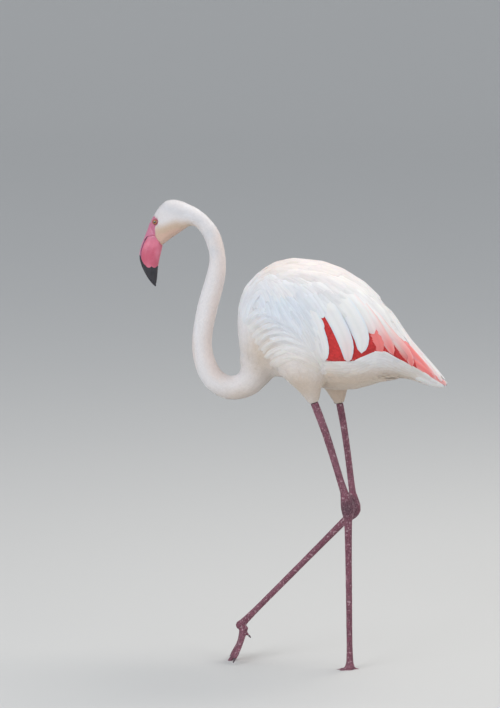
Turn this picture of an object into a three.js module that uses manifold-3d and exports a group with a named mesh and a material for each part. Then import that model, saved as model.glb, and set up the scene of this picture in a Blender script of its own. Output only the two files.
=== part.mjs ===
// A greater flamingo in mid-stride, life size, as a still museum model.
// Millimetres, +Z up. The bird faces -X, its left side is towards -Y, and the floor is z = 0.
// The left leg carries it. The right foot comes down ahead on the tip of its middle toe.
import * as THREE from "three";
import { mergeVertices } from "three/addons/utils/BufferGeometryUtils.js";
import Module from "manifold-3d";

const wasm = await Module();
wasm.setup();

// Driving sizes.
const GAP = 0.3; // clear space between neighbouring pieces
const HEAD_TURN = (12 * Math.PI) / 180; // the bill points a little to the bird's right
const TOE_ROOT_HEIGHT = 16.2; // middle of the toe joint above the sole
const TOES = {
  // length and angle from the middle toe, which is positive towards the outer side
  inner: [66, -31],
  middle: [88, 0],
  outer: [79, 29],
};
const CLAW = 9;
const WEB = 1.4; // thickness
const WEB_SWEEP = 20; // how far the web's front edge curves back between two toes
const WING_SKIN = 13; // depth of the folded wing over the flank
const WING_RELIEF = 3; // how far it stands proud of the trunk
const EYE_RADIUS = 6.2;

const COLOURS = {
  plumage: [0xf3e8e6, 0.8],
  coverts: [0xf2dcd9, 0.75],
  billPink: [0xd5688a, 0.45],
  leg: [0x7a4a63, 0.55],
  claw: [0x2a1f26, 0.5],
  eye: [0xd9a13a, 0.1],
};
const materials = Object.fromEntries(
  Object.entries(COLOURS).map(([name, [color, roughness]]) => [
    name,
    new THREE.MeshStandardMaterial({ color, roughness, metalness: 0 }),
  ]),
);

const mix = (a, b, t) => a + (b - a) * t;
const v3 = (x, y, z) => new THREE.Vector3(x, y, z);

// One closed body from a geometry: only positions are kept, doubles are merged, and faces point out.
function closed(geometry) {
  geometry.deleteAttribute("normal");
  geometry.deleteAttribute("uv");
  const merged = mergeVertices(geometry, 1e-4);
  const p = merged.attributes.position;
  const index = merged.index.array;
  const corner = (i) => v3().fromBufferAttribute(p, index[i]);
  let volume = 0;
  for (let i = 0; i < index.length; i += 3)
    volume += corner(i).dot(corner(i + 1).cross(corner(i + 2)));
  if (volume < 0)
    for (let i = 0; i < index.length; i += 3)
      [index[i + 1], index[i + 2]] = [index[i + 2], index[i + 1]];
  return merged;
}

// A cylinder whose every point is moved: place(t, angle, r) gives where the point at share t of its
// length, at that angle and share r of its radius, goes.
function loft(sides, steps, place) {
  const geometry = new THREE.CylinderGeometry(1, 1, 1, sides, steps);
  const p = geometry.attributes.position;
  for (let i = 0; i < p.count; i++) {
    const [x, y, z] = [p.getX(i), p.getY(i), p.getZ(i)];
    const at = place(0.5 - y, Math.atan2(x, z), Math.min(1, Math.hypot(x, z)));
    p.setXYZ(i, at.x, at.y, at.z);
  }
  return closed(geometry);
}

const smoothCurve = (points) => new THREE.CatmullRomCurve3(points, false, "centripetal");

// A body between two edge lines of its side view. A row is one slice: the upper edge's x and z, the
// lower edge's x and z, half the width, and the slice's own y. grow makes it larger all round.
// egg over 0 makes the slice widest below its middle, and square over 1 fills its corners.
function between(rows, { sides = 24, steps = 16, grow = 0, egg = 0, square = 1, from = 0, to = 1 } = {}) {
  const upper = smoothCurve(rows.map(([x, z, , , , y = 0]) => v3(x, y, z)));
  const lower = smoothCurve(rows.map(([, , x, z, , y = 0]) => v3(x, y, z)));
  const width = smoothCurve(rows.map((row, i) => v3(i * 30, row[4], 0)));
  const bulge = (c) => Math.sign(c) * Math.abs(c) ** (1 / square);
  return loft(sides, steps, (share, angle, r) => {
    const t = mix(from, to, share);
    const top = upper.getPoint(t);
    const half = top.clone().sub(lower.getPoint(t)).multiplyScalar(0.5);
    const centre = top.sub(half);
    const depth = half.length() + grow;
    const across = Math.max(0.2, width.getPoint(t).y + grow);
    const up = bulge(Math.cos(angle));
    const side = bulge(Math.sin(angle)) * (1 - egg * up);
    return centre.addScaledVector(half.normalize(), r * up * depth).add(v3(0, r * side * across, 0));
  });
}

// A body along a line. A row is x, y, z, half the depth in the side view, and half the width.
// begin and end are row numbers, which needn't be whole.
function along(rows, { sides = 14, stepsPerRow = 2, begin = 0, end = rows.length - 1 } = {}) {
  const line = smoothCurve(rows.map(([x, y, z]) => v3(x, y, z)));
  const radii = smoothCurve(rows.map(([, , , depth, width], i) => v3(depth, width, i * 30)));
  return loft(sides, Math.ceil((end - begin) * stepsPerRow), (share, angle, r) => {
    const t = mix(begin, end, share) / (rows.length - 1);
    const tangent = line.getTangent(t);
    const side = v3(0, 1, 0).addScaledVector(tangent, -tangent.y).normalize();
    const up = side.clone().cross(tangent);
    const size = radii.getPoint(t);
    return line
      .getPoint(t)
      .addScaledVector(up, r * Math.cos(angle) * size.x)
      .addScaledVector(side, r * Math.sin(angle) * size.y);
  });
}

// The same body in lengths, which part at the rows named in cuts.
function lengthsAlong(rows, cuts, options) {
  const point = (i) => v3(...rows[i].slice(0, 3));
  const shareOfRow = (i, j) => GAP / 2 / point(i).distanceTo(point(j));
  return [0, ...cuts].map((row, i) => {
    const begin = i ? row + shareOfRow(row, row + 1) : row;
    const end = i < cuts.length ? cuts[i] - shareOfRow(cuts[i], cuts[i] - 1) : rows.length - 1;
    return along(rows, { begin, end, ...options });
  });
}

// An outline in the side view, as a slab from y = near to y = far.
function slab(outline, near, far) {
  const shape = new THREE.Shape(outline.map(([x, z]) => new THREE.Vector2(x, z)));
  const geometry = new THREE.ExtrudeGeometry(shape, { depth: far - near, bevelEnabled: false });
  return closed(geometry.rotateX(Math.PI / 2).translate(0, far, 0));
}

// The same outline with each corner pushed out along its own normal.
function widened(outline, by) {
  return outline.map(([x, z], i) => {
    const [x0, z0] = outline.at(i - 1);
    const [x1, z1] = outline[(i + 1) % outline.length];
    const long = Math.hypot(x1 - x0, z1 - z0);
    return [x + ((z1 - z0) / long) * by, z - ((x1 - x0) / long) * by];
  });
}

function solid(geometry) {
  return new wasm.Manifold(
    new wasm.Mesh({
      numProp: 3,
      vertProperties: new Float32Array(geometry.attributes.position.array),
      triVerts: new Uint32Array(geometry.index.array),
    }),
  );
}

// The largest body of a solid as a geometry. Slivers that a cut leaves are dropped.
function shapeOf(made) {
  const [largest] = made.decompose().sort((a, b) => b.volume() - a.volume());
  const mesh = largest.getMesh();
  return new THREE.BufferGeometry()
    .setAttribute("position", new THREE.BufferAttribute(mesh.vertProperties, 3))
    .setIndex(new THREE.BufferAttribute(mesh.triVerts, 1));
}

const bird = new THREE.Group();
function add(name, geometry, material, parent = bird) {
  const mesh = new THREE.Mesh(geometry, materials[material]);
  mesh.name = name;
  parent.add(mesh);
}

// Everything on one side of a plane through a point, as a block.
function beyond(point, direction, size = 700) {
  const box = new THREE.BoxGeometry(size, size, size).translate(0, 0, size / 2);
  const turn = new THREE.Quaternion().setFromUnitVectors(v3(0, 0, 1), direction.clone().normalize());
  return solid(closed(box.applyQuaternion(turn).translate(point.x, point.y, point.z)));
}

// The body's outer form, from the front of the breast to the tips of wings and tail.
const BODY = [
  // upper x, z, lower x, z, half width
  [-99.4, 652, -98.6, 640, 3],
  [-96, 690, -95, 604, 28],
  [-86, 714, -84, 574, 44],
  [-58, 746, -58, 560, 62],
  [-11, 768, -18, 552, 79],
  [26, 766.5, 20, 541, 87],
  [64, 761, 58, 531, 89],
  [119, 734, 106, 528, 86],
  [169, 688, 149, 539, 73],
  [204, 631, 182, 551, 55],
  [231, 598, 212, 549, 38],
  [258, 567, 243, 538, 22],
  [273, 549, 263, 532, 11],
  [282, 537, 279, 533, 3],
];
const body = (options) => solid(between(BODY, { sides: 20, steps: 18, egg: 0.07, square: 1.06, ...options }));

// The folded wing's outline in the side view: from the shoulder over the back edge to the wing tip,
// then along the lower edge with the round ends of its long plumes.
const WING_OUTLINE = [
  [-89, 668],
  [-74, 702],
  [-38, 734],
  [10, 750],
  [60, 746],
  [108, 726],
  [150, 696],
  [186, 664],
  [300, 564],
  [300, 527],
  [271, 535],
  [242, 555],
  [213, 579],
  [196, 592],
  [183, 592],
  [172, 601],
  [160, 611],
  [146, 616],
  [138, 608],
  [127, 606],
  [116, 606],
  [108, 597],
  [97, 595],
  [86, 598],
  [66, 593],
  [40, 597],
  [16, 614],
  [-20, 636],
  [-56, 650],
].reverse();

// Thighs, feathered to just above the bare shank. Rows run from the hip down, with y last.
const THIGHS = {
  left: [
    [-20, 624, 14, 642, 9, -58],
    [-36, 598, 46, 628, 27, -60],
    [-28, 571, 60, 590, 33, -60],
    [-7, 551, 58, 560, 29, -57],
    [13, 532, 53, 540, 20, -53],
    [25, 517, 50.5, 524, 12, -49.5],
    [31.5, 509.6, 48.5, 515.3, 8.6, -48],
  ],
  right: [
    [8, 628, 44, 640, 9, 58],
    [-4, 598, 82, 618, 27, 60],
    [14, 568, 100, 584, 33, 60],
    [36, 546, 108, 556, 29, 57],
    [55, 529, 107, 536, 20, 54],
    [70, 509, 101, 514, 12, 51],
    [80.2, 494.4, 96.9, 497.6, 8.6, 50],
  ],
};
const thigh = (side, grow = 0) => solid(between(THIGHS[side], { sides: 14, steps: 8, grow }));

const TAIL_START = 160; // the tail is the body behind this x
const behind = (x) => beyond(v3(x, 0, 600), v3(1, 0, 0));
const core = (depth) => body({ grow: -depth, from: 0.12, to: 0.82, sides: 16, steps: 9 });
const wingSlab = (by, middle) => solid(slab(widened(WING_OUTLINE, by), -160, -middle));
const mirrorY = (made) => made.mirror([0, 1, 0]);
const bothThighs = thigh("left", GAP).add(thigh("right", GAP));

const leftWing = body({ grow: WING_RELIEF }).subtract(core(WING_SKIN)).intersect(wingSlab(0, GAP / 2));
const wingRoom = wingSlab(GAP, -GAP).subtract(core(WING_SKIN + GAP));
const trunkAndTail = body().subtract(wingRoom).subtract(mirrorY(wingRoom));
add("left_wing", shapeOf(leftWing.subtract(bothThighs)), "coverts");
add("right_wing", shapeOf(mirrorY(leftWing).subtract(bothThighs)), "coverts");
add("trunk", shapeOf(trunkAndTail.subtract(behind(TAIL_START - GAP / 2)).subtract(bothThighs)), "plumage");
add("tail", shapeOf(trunkAndTail.intersect(behind(TAIL_START + GAP / 2))), "plumage");
for (const side of ["left", "right"]) add(`${side}_thigh`, shapeOf(thigh(side)), "plumage");

// The neck, from inside the breast, round its low bend and up to the nape.
const NECK = [
  // x, y, z, half the depth, half the width
  [-20, 0, 640, 62, 52],
  [-38, 0, 606, 56, 48],
  [-58, 0, 578, 42, 39],
  [-67, 0, 558, 30, 31],
  [-79, 0, 542, 25.5, 26],
  [-96, 0, 534, 23.2, 23],
  [-116, 0, 533, 22.4, 21.5],
  [-140, 0, 546, 21, 20.5],
  [-156, 0, 573, 20, 19],
  [-163.5, 0, 608, 19, 18],
  [-161, 0, 641, 18.7, 18],
  [-152.4, 0, 683, 19.3, 17.5],
  [-141.5, 0, 722, 18.6, 17],
  [-136, 0, 748, 17, 16.5],
  [-134.8, 0, 770, 15.1, 15.5],
  [-138, 0, 791, 15.2, 15],
  [-147, 0.4, 815, 15.3, 15],
  [-158.5, 1.2, 831, 14.6, 15],
  [-171.5, 2.6, 842, 15.4, 15.6],
  [-186, 5.2, 847, 19.6, 17.2],
  [-196, 7.4, 847, 22, 18.6],
];
const NAPE = v3(-186, 5.2, 847);
const HEADING = v3(-Math.cos(HEAD_TURN), Math.sin(HEAD_TURN), 0);
const NECK_CUTS = [6, 9, 12, 15];
const intoHead = beyond(NAPE.clone().addScaledVector(HEADING, -GAP), HEADING);
lengthsAlong(NECK, NECK_CUTS, { sides: 14 }).forEach((geometry, i) => {
  let length = solid(geometry);
  if (i === 0) length = length.subtract(body({ grow: GAP })).subtract(bothThighs);
  if (i === NECK_CUTS.length) length = length.subtract(intoHead);
  add(`neck_${i + 1}`, shapeOf(length), "plumage");
});

// Head and bill, in a group at the nape that turns them to the bird's right.
const headGroup = new THREE.Group();
headGroup.position.copy(NAPE);
headGroup.rotation.z = -HEAD_TURN;
bird.add(headGroup);

const HEAD = [
  // crown and cheek edges from the nape to the bill's root, and half the width
  [0, 19.5, 0, -19.5, 17],
  [-13, 26, -12, -28, 19.6],
  [-29, 29.3, -23, -36, 21.4],
  [-44, 26.5, -32, -42, 21.6],
  [-57, 14, -40, -48, 20],
  [-67, -2, -46, -53, 16.4],
  [-73, -14, -50, -57, 12.4],
];
const BILL = [
  // culmen and keel edges from the root to the tip, and half the width
  [-73.2, -14.4, -50.2, -57.3, 12.2],
  [-80, -34, -52, -65, 12],
  [-87.5, -51.5, -54.6, -76, 12.4],
  [-92, -66, -57, -86, 12.6],
  [-93, -78, -58.6, -96, 12],
  [-89.5, -92, -59.6, -107, 10.4],
  [-82, -108, -60.6, -118, 7.8],
  [-73, -122, -62, -126, 4.4],
  [-64, -131, -62.6, -132, 0.9],
];
// The mouth line, from behind the gape, forward and then down inside the bend of the bill.
const MOUTH = [
  [-40, -37],
  [-66, -37],
  [-75.5, -39],
  [-83, -52],
  [-87.6, -66],
  [-88, -80],
  [-84, -98],
  [-77, -111],
  [-68, -122],
  [-58, -131],
];
const IN_FRONT = [
  [-58, -150],
  [-130, -150],
  [-130, 20],
  [-40, 20],
];
const upperRoom = (by) => solid(slab(widened([...MOUTH, ...IN_FRONT].reverse(), by), -40, 40));

const EYE = { x: -59.8, y: 13.1, z: -11.8 };
const eyeBall = (sign, grow) =>
  closed(new THREE.SphereGeometry(EYE_RADIUS + grow, 10, 7).translate(EYE.x, sign * EYE.y, EYE.z));
const wholeHead = solid(between(HEAD, { sides: 16, steps: 8, square: 1.04 }));
const head = [1, -1].reduce((made, sign) => made.subtract(solid(eyeBall(sign, GAP))), wholeHead);
const bill = solid(between(BILL, { sides: 14, steps: 11, square: 1.1 }));
add("head", shapeOf(head), "plumage", headGroup);
add("bill_upper", shapeOf(bill.intersect(upperRoom(0))), "billPink", headGroup);
add("bill_lower", shapeOf(bill.subtract(upperRoom(GAP))), "billPink", headGroup);
add("left_eye", eyeBall(-1, 0), "eye", headGroup);
add("right_eye", eyeBall(1, 0), "eye", headGroup);

// Bare legs, from below the thigh to the toe joint. Rows are x, y, z, half the depth and half the
// width. The left leg stands almost straight. The right one reaches forward from the ankle.
const LEG_CUTS = [4, 8]; // above and below the ankle
const LEGS = {
  left: {
    rows: [
      [40.1, -48, 512.1, 7.5, 7.2],
      [60, -46, 459, 7.2, 6.8],
      [77.4, -41, 403.6, 6.8, 6.5],
      [88.5, -36.4, 366, 6.8, 6.6],
      [95.4, -33, 344.6, 7.7, 7.3],
      [99, -32, 332, 11, 8.4],
      [101.6, -31, 318, 12.8, 9],
      [102.6, -30, 304, 11, 8.6],
      [102.8, -29.4, 291.5, 7.8, 7.2],
      [103.6, -26.6, 245, 6.6, 6.3],
      [105, -21.4, 160, 6, 5.9],
      [106.6, -15.6, 60, 5.7, 6],
      [107.2, -13.8, 30, 6.6, 7.4],
      [107.3, -13.6, 14, 8.4, 9],
    ],
    toeJoint: v3(107.3, -13.6, TOE_ROOT_HEIGHT),
    outward: -1,
    // The sole's line, forward from below the toe joint and up.
    sole: [
      [0, -16.2],
      [50, -16.2],
      [100, -16.2],
    ],
    halluxDroop: 0,
  },
  right: {
    rows: [
      [88.4, 50, 495.7, 7, 6.8],
      [96, 50, 455, 6.5, 6.4],
      [103.6, 50, 403, 6.2, 6.1],
      [109, 50, 360, 6.2, 6],
      [112.9, 50, 329.5, 6.8, 6.5],
      [115.8, 50, 313, 9.8, 7.8],
      [116.6, 50, 299, 12.2, 9],
      [111, 50.3, 289, 11, 8.6],
      [100.8, 50.7, 279, 7.4, 7],
      [60, 52.2, 237, 6.3, 6.1],
      [0, 54.5, 175, 5.9, 5.8],
      [-60, 57, 113, 5.8, 6],
      [-82, 57.8, 90.4, 6.7, 7.4],
      [-94, 58.3, 78, 8.4, 9],
    ],
    toeJoint: v3(-93.5, 58.3, 78.5),
    outward: 1,
    // The foot is about to land: the sole comes down steeply and levels out under the toe tip.
    sole: [
      [-14.5, -5.6],
      [-7.4, -24.4],
      [0, -42.6],
      [7, -56],
      [15.6, -69],
      [23.4, -77.3],
      [31, -79.2],
      [46, -78.4],
    ],
    halluxDroop: Math.PI / 6,
  },
};
const CUT_ABOVE_TOE_JOINT = 6;

// Moves a foot made flat (forward, outward, up from the sole) onto its sole line.
function footPlacer({ toeJoint, outward, sole }) {
  const line = smoothCurve(sole.map(([forward, up]) => v3(-forward, 0, up).add(toeJoint)));
  const length = line.getLength();
  return (geometry) => {
    const p = geometry.attributes.position;
    for (let i = 0; i < p.count; i++) {
      const forward = p.getX(i);
      const share = THREE.MathUtils.clamp(forward / length, 0, 1);
      const tangent = line.getTangentAt(share);
      const up = v3(0, 1, 0).cross(tangent);
      const at = line.getPointAt(share).addScaledVector(tangent, forward - share * length);
      at.addScaledVector(up, p.getZ(i)).add(v3(0, outward * p.getY(i), 0));
      p.setXYZ(i, at.x, at.y, at.z);
    }
    return closed(geometry);
  };
}

// Moves a hind toe made flat about its toe joint, drooping below the level by halluxDroop.
function halluxPlacer({ toeJoint, outward, halluxDroop }) {
  const [c, s] = [Math.cos(halluxDroop), Math.sin(halluxDroop)];
  return (geometry) => {
    const p = geometry.attributes.position;
    for (let i = 0; i < p.count; i++) {
      const [forward, up] = [p.getX(i), p.getZ(i) - TOE_ROOT_HEIGHT];
      const at = v3(up * s - forward * c, outward * p.getY(i), forward * s + up * c).add(toeJoint);
      p.setXYZ(i, at.x, at.y, at.z);
    }
    return closed(geometry);
  };
}

// Rows for something that runs out from the toe joint at an angle.
const radial = (degrees, rows) => {
  const [c, s] = [Math.cos((degrees * Math.PI) / 180), Math.sin((degrees * Math.PI) / 180)];
  return rows.map(([out, up, depth, width]) => [out * c, out * s, up, depth, width]);
};
const toe = ([length, degrees]) =>
  along(
    radial(degrees, [
      [0, 9, 9.4, 8.2],
      [0.14 * length, 6.8, 7.1, 6.4],
      [0.34 * length, 5, 5.4, 5.2],
      [0.62 * length, 4.2, 4.6, 4.6],
      [0.88 * length, 3.7, 4.1, 4.4],
      [length, 3.1, 3.2, 3.2],
    ]),
    { sides: 8, stepsPerRow: 1 },
  );
const toeClaw = ([length, degrees]) =>
  along(
    radial(degrees, [
      [length + GAP, 3.1, 2.4, 2.9],
      [length + 0.5 * CLAW, 2.8, 2, 2.6],
      [length + CLAW, 1.9, 0.9, 1.2],
    ]),
    { sides: 8, stepsPerRow: 1 },
  );
const HALLUX = [
  [-6, -2, 12, 3.8, 3.6],
  [-14, -3, 9.4, 3.1, 3],
  [-22, -4, 7.6, 2.4, 2.4],
];
const HALLUX_CLAW = [
  [-22.4, -4, 7.5, 1.9, 1.9],
  [-25.5, -4.4, 6.7, 1.5, 1.5],
  [-28, -4.7, 5.7, 0.7, 0.7],
];
// The web between two toes, a thin plate whose front edge curves back.
function web([lengthA, degreesA], [lengthB, degreesB]) {
  const geometry = new THREE.BoxGeometry(1, 1, WEB, 4, 3, 1);
  const p = geometry.attributes.position;
  for (let i = 0; i < p.count; i++) {
    const across = p.getX(i) + 0.5;
    const angle = (mix(degreesA, degreesB, across) * Math.PI) / 180;
    const reach = 0.9 * mix(lengthA, lengthB, across) - WEB_SWEEP * 4 * across * (1 - across);
    const out = mix(4, reach, p.getY(i) + 0.5);
    const up = mix(6.5, 2.6, Math.min(1, out / 40));
    p.setXYZ(i, out * Math.cos(angle), out * Math.sin(angle), up + p.getZ(i));
  }
  return closed(geometry);
}

const floor = beyond(v3(0, 0, 0), v3(0, 0, 1));
for (const [side, leg] of Object.entries(LEGS)) {
  const place = footPlacer(leg);
  const placeHallux = halluxPlacer(leg);
  const [above, end] = leg.rows.slice(-2).map(([x, y, z]) => v3(x, y, z));
  const downward = end.clone().sub(above).normalize();
  const cut = leg.toeJoint.clone().addScaledVector(downward, -CUT_ABOVE_TOE_JOINT);
  const footSide = beyond(cut.clone().addScaledVector(downward, GAP / 2), downward);
  const fromCut = beyond(cut.clone().addScaledVector(downward, -GAP / 2), downward);

  const [shank, ankle, tarsus] = lengthsAlong(leg.rows, LEG_CUTS, { sides: 10 });
  add(`${side}_shank`, shank, "leg");
  add(`${side}_ankle`, ankle, "leg");
  add(`${side}_tarsus`, shapeOf(solid(tarsus).subtract(fromCut)), "leg");

  const { x, y, z } = leg.toeJoint;
  const knuckle = solid(closed(new THREE.SphereGeometry(9.2, 10, 8).translate(x, y, z)));
  const toeParts = [
    ...Object.values(TOES).map(toe),
    web(TOES.inner, TOES.middle),
    web(TOES.middle, TOES.outer),
  ].map(place);
  toeParts.push(placeHallux(along(HALLUX, { sides: 8, stepsPerRow: 1 })));
  const foot = toeParts
    .reduce((made, part) => made.add(solid(part)), knuckle.add(solid(tarsus)))
    .intersect(footSide)
    .intersect(floor);
  add(`${side}_foot`, shapeOf(foot), "leg");
  for (const [name, size] of Object.entries(TOES)) add(`${side}_claw_${name}`, place(toeClaw(size)), "claw");
  add(`${side}_claw_hallux`, placeHallux(along(HALLUX_CLAW, { sides: 6, stepsPerRow: 1 })), "claw");
}

// The origin is the middle of the underside of the whole bird.
const box = new THREE.Box3().setFromObject(bird);
const centre = box.getCenter(v3(0, 0, 0));
bird.position.set(-centre.x, -centre.y, -box.min.z);
bird.updateMatrixWorld(true);

export default bird;
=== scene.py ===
import math

import bpy
import numpy as np
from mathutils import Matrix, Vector
from mathutils.bvhtree import BVHTree


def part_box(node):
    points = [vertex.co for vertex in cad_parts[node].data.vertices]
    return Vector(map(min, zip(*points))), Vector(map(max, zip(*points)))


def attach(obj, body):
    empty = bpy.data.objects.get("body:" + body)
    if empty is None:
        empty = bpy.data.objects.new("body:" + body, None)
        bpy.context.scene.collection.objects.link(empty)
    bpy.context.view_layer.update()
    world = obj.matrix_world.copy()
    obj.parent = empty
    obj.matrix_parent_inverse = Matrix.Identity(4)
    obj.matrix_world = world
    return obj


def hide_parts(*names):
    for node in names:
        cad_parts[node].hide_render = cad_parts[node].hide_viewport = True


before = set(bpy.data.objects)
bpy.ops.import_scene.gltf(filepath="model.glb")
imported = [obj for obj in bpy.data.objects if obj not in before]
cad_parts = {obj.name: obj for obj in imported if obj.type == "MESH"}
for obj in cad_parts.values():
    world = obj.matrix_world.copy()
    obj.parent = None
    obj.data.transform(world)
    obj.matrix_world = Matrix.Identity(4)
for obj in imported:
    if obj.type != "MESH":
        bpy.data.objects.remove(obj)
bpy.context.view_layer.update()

# Skin. One thin skin covers the flesh from the face to the toes, bare on face and legs and hidden by
# plumage elsewhere. It is grown from copies of the flesh's nodes, and lies inside them by the depth of
# the plumage, or level with them where it is bare.
MM = 0.001
FLESH = ["trunk", "tail", "left_wing", "right_wing", "left_thigh", "right_thigh", "head"]
FLESH += [f"neck_{i}" for i in range(1, 6)]
BODY_VOXEL = 2.7 * MM
BODY_SMOOTHING = 10
SKIN_SMOOTHING = 4
CLOSING = 0.8 * MM  # the copies are swollen by this so that the gaps between them close


def mesh_arrays(piece):
    mesh = piece.data
    co = np.zeros(len(mesh.vertices) * 3)
    mesh.vertices.foreach_get("co", co)
    normal = np.zeros(len(mesh.vertices) * 3)
    mesh.vertices.foreach_get("normal", normal)
    return co.reshape(-1, 3), normal.reshape(-1, 3)


def set_points(piece, co):
    piece.data.vertices.foreach_set("co", np.ascontiguousarray(co, float).ravel())
    piece.data.update()


def alone(piece):
    bpy.ops.object.select_all(action="DESELECT")
    piece.select_set(True)
    bpy.context.view_layer.objects.active = piece


def apply_modifier(piece, kind, **settings):
    alone(piece)
    modifier = piece.modifiers.new(kind.title(), kind)
    for key, value in settings.items():
        setattr(modifier, key, value)
    bpy.ops.object.modifier_apply(modifier=modifier.name)


def copy_of(node):
    """A merged copy of a CAD node, as a piece of its own."""
    piece = bpy.data.objects.new(f"copy_{node}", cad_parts[node].data.copy())
    bpy.context.scene.collection.objects.link(piece)
    alone(piece)
    bpy.ops.object.mode_set(mode="EDIT")
    bpy.ops.mesh.select_all(action="SELECT")
    bpy.ops.mesh.remove_doubles(threshold=1e-6)
    bpy.ops.object.mode_set(mode="OBJECT")
    return piece


def one_body(name, nodes, voxel, smoothing):
    """The nodes' copies grown together into one closed, smooth mesh, a little too large all round."""
    copies = [copy_of(node) for node in nodes]
    for piece in copies:
        co, normal = mesh_arrays(piece)
        set_points(piece, co + normal * CLOSING)
    alone(copies[0])
    for piece in copies:
        piece.select_set(True)
    bpy.ops.object.join()
    whole = bpy.context.view_layer.objects.active
    whole.name = name
    whole.data.materials.clear()
    apply_modifier(whole, "REMESH", mode="VOXEL", voxel_size=voxel, use_smooth_shade=True)
    apply_modifier(whole, "SMOOTH", factor=0.5, iterations=smoothing)
    return whole


def triangles_of(piece):
    piece.data.calc_loop_triangles()
    tris = np.zeros(len(piece.data.loop_triangles) * 3, np.int64)
    piece.data.loop_triangles.foreach_get("vertices", tris)
    return tris.reshape(-1, 3)


# The outline is the plumage's outer surface. The skin and each feather are placed from it.
body_skin = one_body("body_skin", FLESH, BODY_VOXEL, BODY_SMOOTHING)
outline_points, outline_normals = mesh_arrays(body_skin)
outline_points = outline_points - outline_normals * CLOSING
set_points(body_skin, outline_points)
outline_normals = mesh_arrays(body_skin)[1]
outline_tris = triangles_of(body_skin)
outline_tree = BVHTree.FromPolygons(outline_points.tolist(), outline_tris.tolist())

# The plumage is deeper or thinner along the lines that the bird's bones would take, from the bill
# back. Each row is x, y from the middle plane, z and half the thickness there, in millimetres.
trunk_low, trunk_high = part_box("trunk")
MIDDLE_Y = (trunk_low.y + trunk_high.y) / 2
LINE_STEPS = 60  # points on each line once it is smoothed
LINES = {
    "head": [(-252, 18, 792, 12), (-246, 15, 812, 17), (-234, 12, 833, 20), (-214, 9, 846, 21),
             (-196, 6, 847, 19)],
    "neck": [(-188, 5, 847, 18), (-173, 3, 842, 15), (-160, 1, 831, 15), (-149, 0, 815, 15),
             (-140, 0, 791, 15), (-137, 0, 770, 15), (-138, 0, 748, 17), (-143, 0, 722, 18),
             (-154, 0, 683, 19), (-163, 0, 641, 19), (-165, 0, 608, 19), (-158, 0, 573, 20),
             (-142, 0, 546, 21), (-118, 0, 533, 22), (-98, 0, 534, 23), (-81, 0, 542, 26),
             (-66, 0, 560, 32)],
    "body": [(-98, 0, 645, 20), (-78, 0, 650, 55), (-40, 0, 653, 80), (20, 0, 652, 95),
             (80, 0, 643, 98), (130, 0, 627, 88), (180, 0, 602, 66), (228, 0, 573, 36),
             (262, 0, 549, 16), (280, 0, 536, 5)],
    "left_thigh": [(5, -58, 625, 40), (12, -60, 585, 42), (24, -57, 555, 33), (33, -53, 534, 20),
                   (38, -48, 512, 10)],
    "right_thigh": [(30, 58, 625, 42), (44, 60, 590, 43), (66, 57, 553, 37), (80, 54, 530, 26),
                    (87, 50, 496, 10)],
}


def resampled(rows, count):
    """Rows at even steps along a smooth line through them."""
    rows = np.array(rows, float)
    steps = np.linspace(0, len(rows) - 1, (len(rows) - 1) * 8 + 1)
    padded = np.vstack([2 * rows[0] - rows[1], rows, 2 * rows[-1] - rows[-2]])
    i = np.minimum(steps.astype(int), len(rows) - 2)
    f = (steps - i)[:, None]
    a, b, c, d = padded[i], padded[i + 1], padded[i + 2], padded[i + 3]
    fine = 0.5 * (2 * b + (c - a) * f + (2 * a - 5 * b + 4 * c - d) * f**2 + (3 * b - 3 * c + d - a) * f**3)
    run = np.concatenate([[0], np.cumsum(np.linalg.norm(np.diff(fine[:, :3], axis=0), axis=1))])
    even = np.linspace(0, run[-1], count)
    return np.stack([np.interp(even, run, fine[:, k]) for k in range(fine.shape[1])], axis=1)


def in_frame(rows):
    """Millimetres about the middle plane as metres in the frame."""
    rows = np.array(rows, float) * MM
    rows[:, 1] += MIDDLE_Y
    return rows


def unit(v):
    return v / np.maximum(np.linalg.norm(v, axis=-1, keepdims=True), 1e-12)


lines = {}
for line_name, line_rows in LINES.items():
    placed = in_frame(resampled(line_rows, LINE_STEPS))
    centres = placed[:, :3]
    lines[line_name] = {"at": centres, "r": placed[:, 3], "run": unit(np.gradient(centres, axis=0))}


def near_line(points, line_name):
    """Each point's distance from a line in thicknesses, its place along it and its angle round it."""
    line = lines[line_name]
    apart = np.linalg.norm(points[:, None] - line["at"][None], axis=2)
    i = np.argmin(apart / line["r"][None], axis=1)
    out = points - line["at"][i]
    run = line["run"][i]
    side = unit(np.cross(np.cross(run, [0.0, 1.0, 0.0]), run) * -1)
    up = np.cross(side, run)
    angle = np.arctan2((out * side).sum(1), (out * up).sum(1))
    return apart[np.arange(len(points)), i] / line["r"][i], i / (len(line["at"]) - 1), angle


def smooth_step(low, high, value):
    t = np.clip((value - low) / (high - low), 0, 1)
    return t * t * (3 - 2 * t)


def seen_from_side(points):
    """The places in the side view, x and z in millimetres."""
    return points[:, 0] / MM, points[:, 2] / MM


def edge_at(edge, value):
    """The second coordinate of an edge of the side view where the first has this value."""
    return np.interp(value, *zip(*edge))


# The edge of the bare face as z and x in the side view.
BARE_FACE_EDGE = [(790, -238), (795, -243), (804, -246), (812, -249), (824, -250), (832, -244),
                  (840, -245), (844, -250), (848, -262)]
FACE_LOW_Z = 780  # nothing lower is part of the face


def bare_face(points):
    """One on the bare skin from round the eye down to the bill."""
    x, z = seen_from_side(points)
    edge = edge_at(BARE_FACE_EDGE, z)
    return smooth_step(0.6, -0.6, x - edge) * (z > FACE_LOW_Z)


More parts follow.
